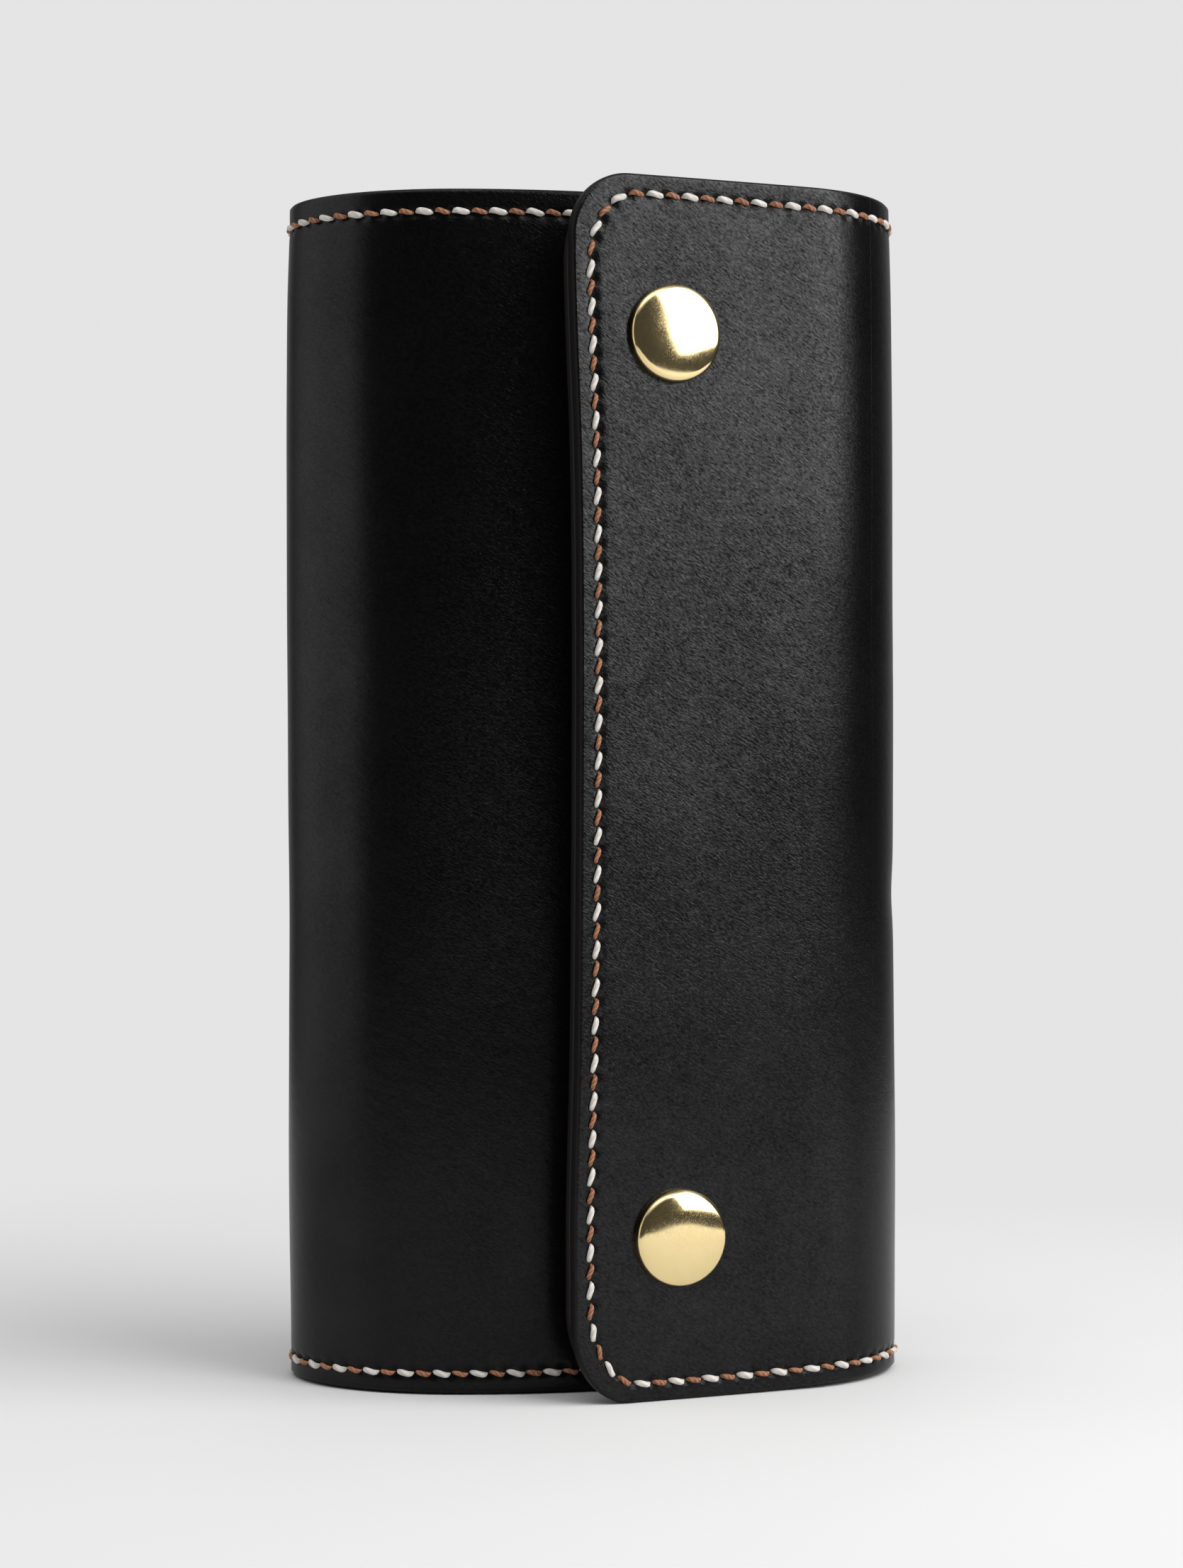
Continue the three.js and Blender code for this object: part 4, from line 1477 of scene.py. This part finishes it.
@dataclass
class Pocket:
    """The slip pocket on the back lining, sewn on three sides and open to the mouth."""

    wrap: Wrap
    left: float = -20.0
    right: float = 30.0
    low: float = 26.0
    high: float = 164.0
    thickness: float = 1.3
    gap: float = 0.04
    margin: float = 3.1
    corner: float = 6.0
    end_room: float = 4.0
    lip: float = 0.45
    hole: float = 0.25
    hole_width: float = 0.7
    # Painted shade round each stitch hole: how dark, and how far it reaches.
    hole_shade: float = 0.8
    shade_width: float = 0.5
    rows: int = 140
    points: int = 200
    turn_points: int = 30
    seed: int = 41

    def seam(self, start: float, stop: float) -> Seam:
        """The seam along the top, the closed side and the bottom.

        Args:
            start: The panel's closed side along the sheet.
            stop: Its open side.

        Returns:
            The seam, with its first stitch at its start.
        """
        n, a, b = self.points, start + self.corner, stop - self.end_room
        low, high, r = self.low + self.margin, self.high - self.margin, self.corner - self.margin
        path = chained(
            line(np.linspace(b, a, n), high),
            elbow((a, high - r), (r, r), QUARTER, self.turn_points),
            line(start + self.margin, np.linspace(high - r, low + r, n)),
            elbow((a, low + r), (r, r), 2 * QUARTER, self.turn_points),
            line(np.linspace(a, b, n), low),
        )
        return Seam(path, np.array([[0.0, Seam.pitch], [0.0, 1.0]]))

    def build(self, dresser: Dresser) -> None:
        """Makes the panel and its stitches.

        Args:
            dresser: Puts the finishes on.
        """
        w = self.wrap
        start, stop = (x + w.marks["back"] - w.crest_x for x in (self.left, self.right))
        back, corner = w.wall + self.gap, Corner(self.corner, self.corner)
        face = back + self.thickness
        panel = Slab(start, stop, (back, face), (End.FREE, End.FREE), lambda u: 0 * u + self.low,
                     lambda u: 0 * u + self.high, np.linspace(0, 1, self.rows), self.lip, corner, corner,
                     column_step=1.0, rim_steps=6)
        seam = self.seam(start, stop)
        holes, numbers = seam.holes(), seam.numbers()

        def relief(u: Array, z: Array) -> tuple[Array, Array]:
            """A dimple at each stitch hole on the panel's face, and the painted shade round it."""
            gap = nearest(np.column_stack([u, z]), holes)
            return -self.hole * bump(gap, self.hole_width), self.hole_shade * bump(gap, self.shade_width)

        shape = panel.shape(w.place, relief, inside=True)
        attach(dresser.add(shape, "slip_pocket_panel", LINING, Slot.LINING, "slip_pocket"), "body")
        for rest, finish in enumerate((WHITE_THREAD, BROWN_THREAD)):
            pick = numbers[numbers % 2 == rest]
            shape = POCKET_STITCH.shape(
                seam, pick, np.full(len(pick), face), w.place, -1.0, self.seed + rest)
            nodes = ["thread_pocket"] if finish is WHITE_THREAD else []
            name = f"stitches_pocket_{finish.name}"
            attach(dresser.add(shape, name, finish, Slot.THREAD, *nodes), "body")


def eased(profile: Knots, share: float = 0.35, steps: int = 5, closed: bool = False) -> Array:
    """A profile with every corner rounded by a short quadratic curve.

    Args:
        profile: Corners as radius and height.
        share: How much of each side a curve takes, at most a half.
        steps: Pieces in each curve.
        closed: True where the last corner joins the first.

    Returns:
        The rounded profile, one row a point.
    """
    p = np.array(profile, float)
    t = np.linspace(0.0, 1.0, steps + 1)[None, :, None]
    a, b = (p + (np.roll(p, way, 0) - p) * share for way in (1, -1))
    curve = (1 - t) ** 2 * a[:, None] + 2 * t * (1 - t) * p[:, None] + t * t * b[:, None]
    if closed:
        return curve.reshape(-1, 2)
    return np.concatenate([p[:1], curve[1:-1].reshape(-1, 2), p[-1:]])


@dataclass
class Snap:
    """One snap fastener: cap, socket and spring ring on the flap, stud and eyelet on the front panel.

    Everything turns about one axis, nearly square to the flap. Heights are measured outwards from the flap's
    outer face.
    """

    wrap: Wrap
    name: str
    inset: float
    z: float
    segments: int = 72
    cap_radius: float = 7.65
    cap_height: float = 2.5
    dome_edge: float = 6.75
    dome_radius: float = 75.0
    dome_gain: float = 0.051
    dome_steps: int = 34
    roll_end: float = -0.55
    roll_steps: int = 18
    barrel: float = 1.75
    socket_top: float = -5.05
    socket_height: float = 4.0
    stud_flange: float = 4.9
    stud_neck: float = 2.0
    stud_head: float = 2.55
    wire: float = 0.3
    wire_sides: int = 12
    spring_opening: float = math.pi / 8
    spring_steps: int = 60
    lean: float = math.radians(-1.5)

    @property
    def u(self) -> float:
        """The axis's place along the sheet."""
        return self.wrap.length - self.inset

    def place(self, radius: Array, height: Array, angle: Array) -> Array:
        """Turns radius, height and angle about the snap's axis into points.

        Args:
            radius: Distances from the axis.
            height: Heights along it.
            angle: Angles round it.

        Returns:
            Points, with the coordinates along a new last axis.
        """
        w, turn = self.wrap, self.wrap.slope + self.lean
        drawn = float(w.drawn(np.array([self.u]), np.array([self.z]))[0])
        foot = np.append(w.flap_edge + w.along * (self.inset + drawn), self.z)
        axis = np.array([math.sin(turn), -math.cos(turn), 0.0])
        side, up = np.array([math.cos(turn), math.sin(turn), 0.0]), np.array([0.0, 0.0, 1.0])
        out = side * np.cos(angle)[..., None] + up * np.sin(angle)[..., None]
        return foot + axis * height[..., None] + out * radius[..., None]

    def lathe(self, profile: Array, ring: bool) -> Shape:
        """Turns a profile about the axis.

        Args:
            profile: Radius and height, one row a point. A whole turn of it makes the surface.
            ring: True where the profile closes on itself, false where both its ends lie on the axis.

        Returns:
            The closed shape.
        """
        x, y = profile.T
        if float(np.sum(x * np.roll(y, -1) - np.roll(x, -1) * y)) > 0:
            profile = profile[::-1]
        a = np.linspace(0.0, 2 * np.pi, self.segments, endpoint=False)
        body = profile if ring else profile[1:-1]
        points = self.place(*np.broadcast_arrays(body[:, :1], body[:, 1:], a[None])).reshape(-1, 3)
        index = np.arange(len(points)).reshape(len(body), self.segments)
        index = np.hstack([index, index[:, :1]])
        if ring:
            return Shape(points, [(grid_faces(np.vstack([index, index[:1]]))[:, ::-1], True)])
        poles = self.place(np.zeros(2), profile[[0, -1], 1], np.zeros(2))
        first, last = (np.full(self.segments, len(points) + pole) for pole in (0, 1))
        start = np.stack([first, index[0, :-1], index[0, 1:]], -1)
        stop = np.stack([last, index[-1, 1:], index[-1, :-1]], -1)
        faces = [(quads, True) for quads in (grid_faces(index)[:, ::-1], start, stop)]
        return Shape(np.vstack([points, poles]), faces)

    def cap(self) -> Shape:
        """A low dome that rolls over a round rim, with the barrel that goes through the flap.

        The dome falls by (r^2 / 2 + gain r^4 / 4) over its radius, so that it is flattest in the middle.

        Returns:
            The closed shape.
        """
        r, edge, gain, barrel = self.cap_radius, self.dome_edge, self.dome_gain, self.barrel
        at = np.linspace(0.0, edge, self.dome_steps)
        dome = np.column_stack([at, self.cap_height - (at**2 / 2 + gain * at**4 / 4) / self.dome_radius])
        slope = math.atan(edge * (1 + gain * edge**2) / self.dome_radius)
        wide = (r - edge) / (1 - math.sin(slope))
        a = np.linspace(QUARTER - slope, self.roll_end, self.roll_steps)[1:]
        fall = wide * (np.sin(a) - math.cos(slope))
        roll = np.column_stack([r - wide + wide * np.cos(a), dome[-1, 1] + fall])
        end = self.socket_top - 1.1
        shank = [(r - 0.42, 0.18), (r - 0.9, 0.05), (barrel, 0.05), (barrel, end), (barrel + 0.75, end - 0.4),
                 (barrel + 0.75, end - 0.75), (0.0, end - 0.75)]
        return self.lathe(np.vstack([dome, roll, shank]), False)

    def socket(self) -> Shape:
        """A flanged ring with a cavity for the stud's head: a closed profile with eased corners, turned.

        Returns:
            The closed shape.
        """
        top, bottom, bore = self.socket_top, self.socket_top - self.socket_height, self.barrel + 0.3
        corners = [(bore, top), (bore, top - 1.1), (4.1, top - 1.25), (4.1, bottom + 0.8),
                   (3.0, bottom + 0.6), (3.0, bottom + 0.3), (3.3, bottom), (4.7, bottom),
                   (5.2, bottom + 0.5), (5.2, top - 1.1), (5.9, top - 0.7), (5.9, top)]
        return self.lathe(eased(corners, closed=True), True)

    def stud(self) -> Shape:
        """A flanged ring with a neck and a wider head: a closed profile with eased corners, turned.

        Returns:
            The closed shape.
        """
        base, top = self.wrap.snap_base + 0.06, self.socket_top - 2.15
        bore, neck, head, flange = 1.5, self.stud_neck, self.stud_head, self.stud_flange
        corners = [(bore, base), (flange, base), (flange, base + 0.4), (neck + 0.4, base + 0.7),
                   (neck, base + 1.0), (neck, top - 0.8), (head, top - 0.4), (head, top - 0.15),
                   (head - 0.25, top), (bore + 0.5, top), (bore, top - 0.65)]
        return self.lathe(eased(corners, closed=True), True)

    def eyelet(self) -> Shape:
        """A flange inside the clutch with a barrel, flared inside the stud: a profile with eased corners.

        Returns:
            The closed shape.
        """
        face, top = self.wrap.snap_base - self.wrap.wall - 0.06, self.socket_top - 2.2
        corners = [(0.0, top), (1.65, top), (1.2, top - 0.55), (1.2, face), (4.6, face), (4.8, face - 0.25),
                   (4.6, face - 0.7), (1.25, face - 0.8), (0.75, face - 0.3), (0.75, top - 1.1),
                   (0.0, top - 1.1)]
        return self.lathe(eased(corners), False)

    def spring(self) -> Shape:
        """An open ring of wire that grips the stud's neck: a small circle carried round most of a larger one.

        Returns:
            The closed shape.
        """
        ring = self.stud_neck + 0.5 + self.wire
        height = self.socket_top - self.socket_height + 0.8 + self.wire + 0.1
        opening = self.spring_opening
        along = np.linspace(opening, 2 * math.pi - opening, self.spring_steps)[:, None]
        a = np.linspace(0.0, 2 * np.pi, self.wire_sides, endpoint=False)[None]
        radius, level = ring + self.wire * np.cos(a), height + self.wire * np.sin(a)
        points = self.place(*np.broadcast_arrays(radius, level, along))
        index = np.arange(points.size // 3).reshape(points.shape[:2])
        faces = grid_faces(np.hstack([index, index[:, :1]]))[:, ::-1]
        return Shape(points.reshape(-1, 3), [(faces, True), (np.stack([index[0], index[-1, ::-1]]), False)])

    def build(self, dresser: Dresser) -> None:
        """Makes the five pieces and hangs them on the flap and the front panel.

        Args:
            dresser: Puts the finishes on.
        """
        for make, body, finish, slot in (
            (self.cap, "flap", BRASS, Slot.BRASS),
            (self.socket, "flap", BRASS, Slot.BRASS),
            (self.spring, "flap", STEEL, Slot.STEEL),
            (self.stud, "body", BRASS, Slot.BRASS),
            (self.eyelet, "body", BRASS, Slot.BRASS),
        ):
            label = f"{make.__name__}_{self.name}"
            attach(dresser.add(make(), "metal_" + label, finish, slot, "snap_" + label), body)


@dataclass(frozen=True)
class Softbox:
    """A flat soft lamp in metres: where it is, how large, how bright, and its spin about its own axis."""

    name: str
    at: tuple[float, float, float]
    size: Pair
    radiance: float
    spin: float = 0.0
    aim: tuple[float, float, float] = (0.0, 0.0, 0.1)

    def build(self) -> None:
        """Hangs the lamp so that it faces its aim."""
        data = bpy.data.lights.new(self.name, "AREA")
        data.shape = "RECTANGLE"
        data.size, data.size_y = self.size
        data.energy = self.radiance * math.pi * self.size[0] * self.size[1]
        lamp = bpy.data.objects.new(self.name, data)
        bpy.context.scene.collection.objects.link(lamp)
        x, y, z = np.array(self.aim) - np.array(self.at)
        turn = Euler((math.atan2(math.hypot(x, y), -z), 0.0, math.atan2(-x, y))).to_matrix()
        lamp.location = self.at
        lamp.rotation_euler = (turn @ Euler((0.0, 0.0, self.spin)).to_matrix()).to_euler()


@dataclass
class Studio:
    """The pale floor and backdrop, the light round the clutch, and the camera.

    Sizes are metres, the lens and the sensor millimetres, and the world's steps of light degrees round the
    clutch, 0 on the camera's side, with a share of the light.
    """

    eye: tuple[float, float, float] = (0.0, -0.53925, 0.0964)
    lens: float = 76.49
    sensor: float = 36.0
    clip: float = 0.01
    pale: tuple = rgb(0.78, 0.78, 0.78)
    room: float = 0.06
    backdrop: float = 0.80
    left_wall: float = 0.80
    ceiling: float = 0.60
    back_steps: tuple = ((122, 166, 0.35), (164, 178, 0.65))
    left_steps: tuple = ((47, 65), (-142, -92))
    ceiling_step: Pair = (0.5, 0.75)
    floor_radius: float = 0.52
    floor_steps: int = 60
    fade: Pair = (0.08, 0.32)
    lamps: tuple[Softbox, ...] = (
        Softbox("side_softbox", (0.680, -0.390, 0.498), (0.676, 0.95), 3.8,
                spin=math.radians(4), aim=(0.0, 0.0, -0.286)),
        Softbox("edge_softbox", (0.779, -0.089, 0.508), (0.255, 0.95), 1.35,
                spin=math.radians(4), aim=(0.0, 0.0, -0.276)),
        Softbox("front_softbox", (-0.15, -0.62, 1.45), (1.2, 0.8), 1.2),
    )

    def build(self) -> None:
        """Sets up everything round the clutch."""
        self.floor()
        self.world()
        for lamp in self.lamps:
            lamp.build()
        self.camera()
        bpy.context.scene.view_settings.view_transform = "Standard"

    def floor(self) -> None:
        """A round pale floor that passes into the backdrop's colour with distance, seen from the camera.

        A square grid is drawn to a disc: each coordinate is multiplied by the root of 1 minus half the other
        one squared.
        """
        side = np.linspace(-1.0, 1.0, self.floor_steps)
        x, y = np.meshgrid(side, side, indexing="ij")
        disc = np.stack([x * np.sqrt(1 - y * y / 2), y * np.sqrt(1 - x * x / 2), np.zeros_like(x)], -1)
        faces = grid_faces(np.arange(x.size).reshape(x.shape))[:, ::-1]
        floor = Shape(disc.reshape(-1, 3) * self.floor_radius / MM, [(faces, True)]).to_object("floor")
        g = Graph(bpy.data.materials.new("pale_floor"))
        away = g.node("VectorMath", {0: g.here()}, 1, operation="LENGTH")
        far = away.rise(*self.fade) * g.node("LightPath", output="Is Camera Ray")
        lit = g.node("BsdfDiffuse", {"Color": self.pale})
        flat = g.node("Emission", {"Color": self.pale, "Strength": 1.0})
        g.node("OutputMaterial", {0: g.node("MixShader", {0: far, 1: lit, 2: flat})})
        floor.data.materials.append(g.owner)

    def world(self) -> None:
        """A pale backdrop behind, a wall on the left, light from above and a dark room in front."""
        world = bpy.data.worlds.new("studio")
        bpy.context.scene.world = world
        g = Graph(world)
        x, y, z = g.parts(g.here("Generated"))
        turn = x.math("ARCTAN2", y * -1.0)
        wide, narrow = (abs(turn).rise(math.radians(low), math.radians(high), share * self.backdrop)
                        for low, high, share in self.back_steps)
        front_edge, back_edge = np.radians(self.left_steps).tolist()
        left = (turn * -1.0).rise(*front_edge, self.left_wall) * turn.rise(*back_edge)
        above = z.rise(*self.ceiling_step, self.ceiling)
        light = (wide + narrow).larger(left).larger(above) + self.room
        rays = [g.node("LightPath", output=ray) for ray in ("Is Camera Ray", "Is Transmission Ray")]
        seen = rays[0].larger(rays[1])
        studio = g.node("Background", {"Color": rgb(1, 1, 1), "Strength": light})
        backdrop = g.node("Background", {"Color": self.pale, "Strength": 1.0})
        g.node("OutputWorld", {0: g.node("MixShader", {0: seen, 1: studio, 2: backdrop})})

    def camera(self) -> None:
        """A level camera in front, at the photograph's distance and height."""
        data = bpy.data.cameras.new("camera")
        data.lens, data.sensor_width, data.clip_start = self.lens, self.sensor, self.clip
        camera = bpy.data.objects.new("camera", data)
        bpy.context.scene.collection.objects.link(camera)
        camera.location = self.eye
        camera.rotation_euler = (QUARTER, 0.0, 0.0)
        bpy.context.scene.camera = camera


def main() -> None:
    """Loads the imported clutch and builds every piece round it."""
    logging.basicConfig(level=logging.INFO, format="%(name)s %(message)s")
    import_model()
    wrap, dresser = Wrap(), Dresser()
    snaps = [Snap(wrap, "upper", 17.0, 166.8), Snap(wrap, "lower", 18.0, 25.4)]
    Leather(wrap, dresser, [(snap.u, snap.z) for snap in snaps]).build()
    for top in (True, False):
        Gusset(wrap, top).build(dresser)
    Pocket(wrap).build(dresser)
    for snap in snaps:
        snap.build(dresser)
    Studio().build()
    LOG.info("sizes written")


if __name__ == "__main__":
    main()
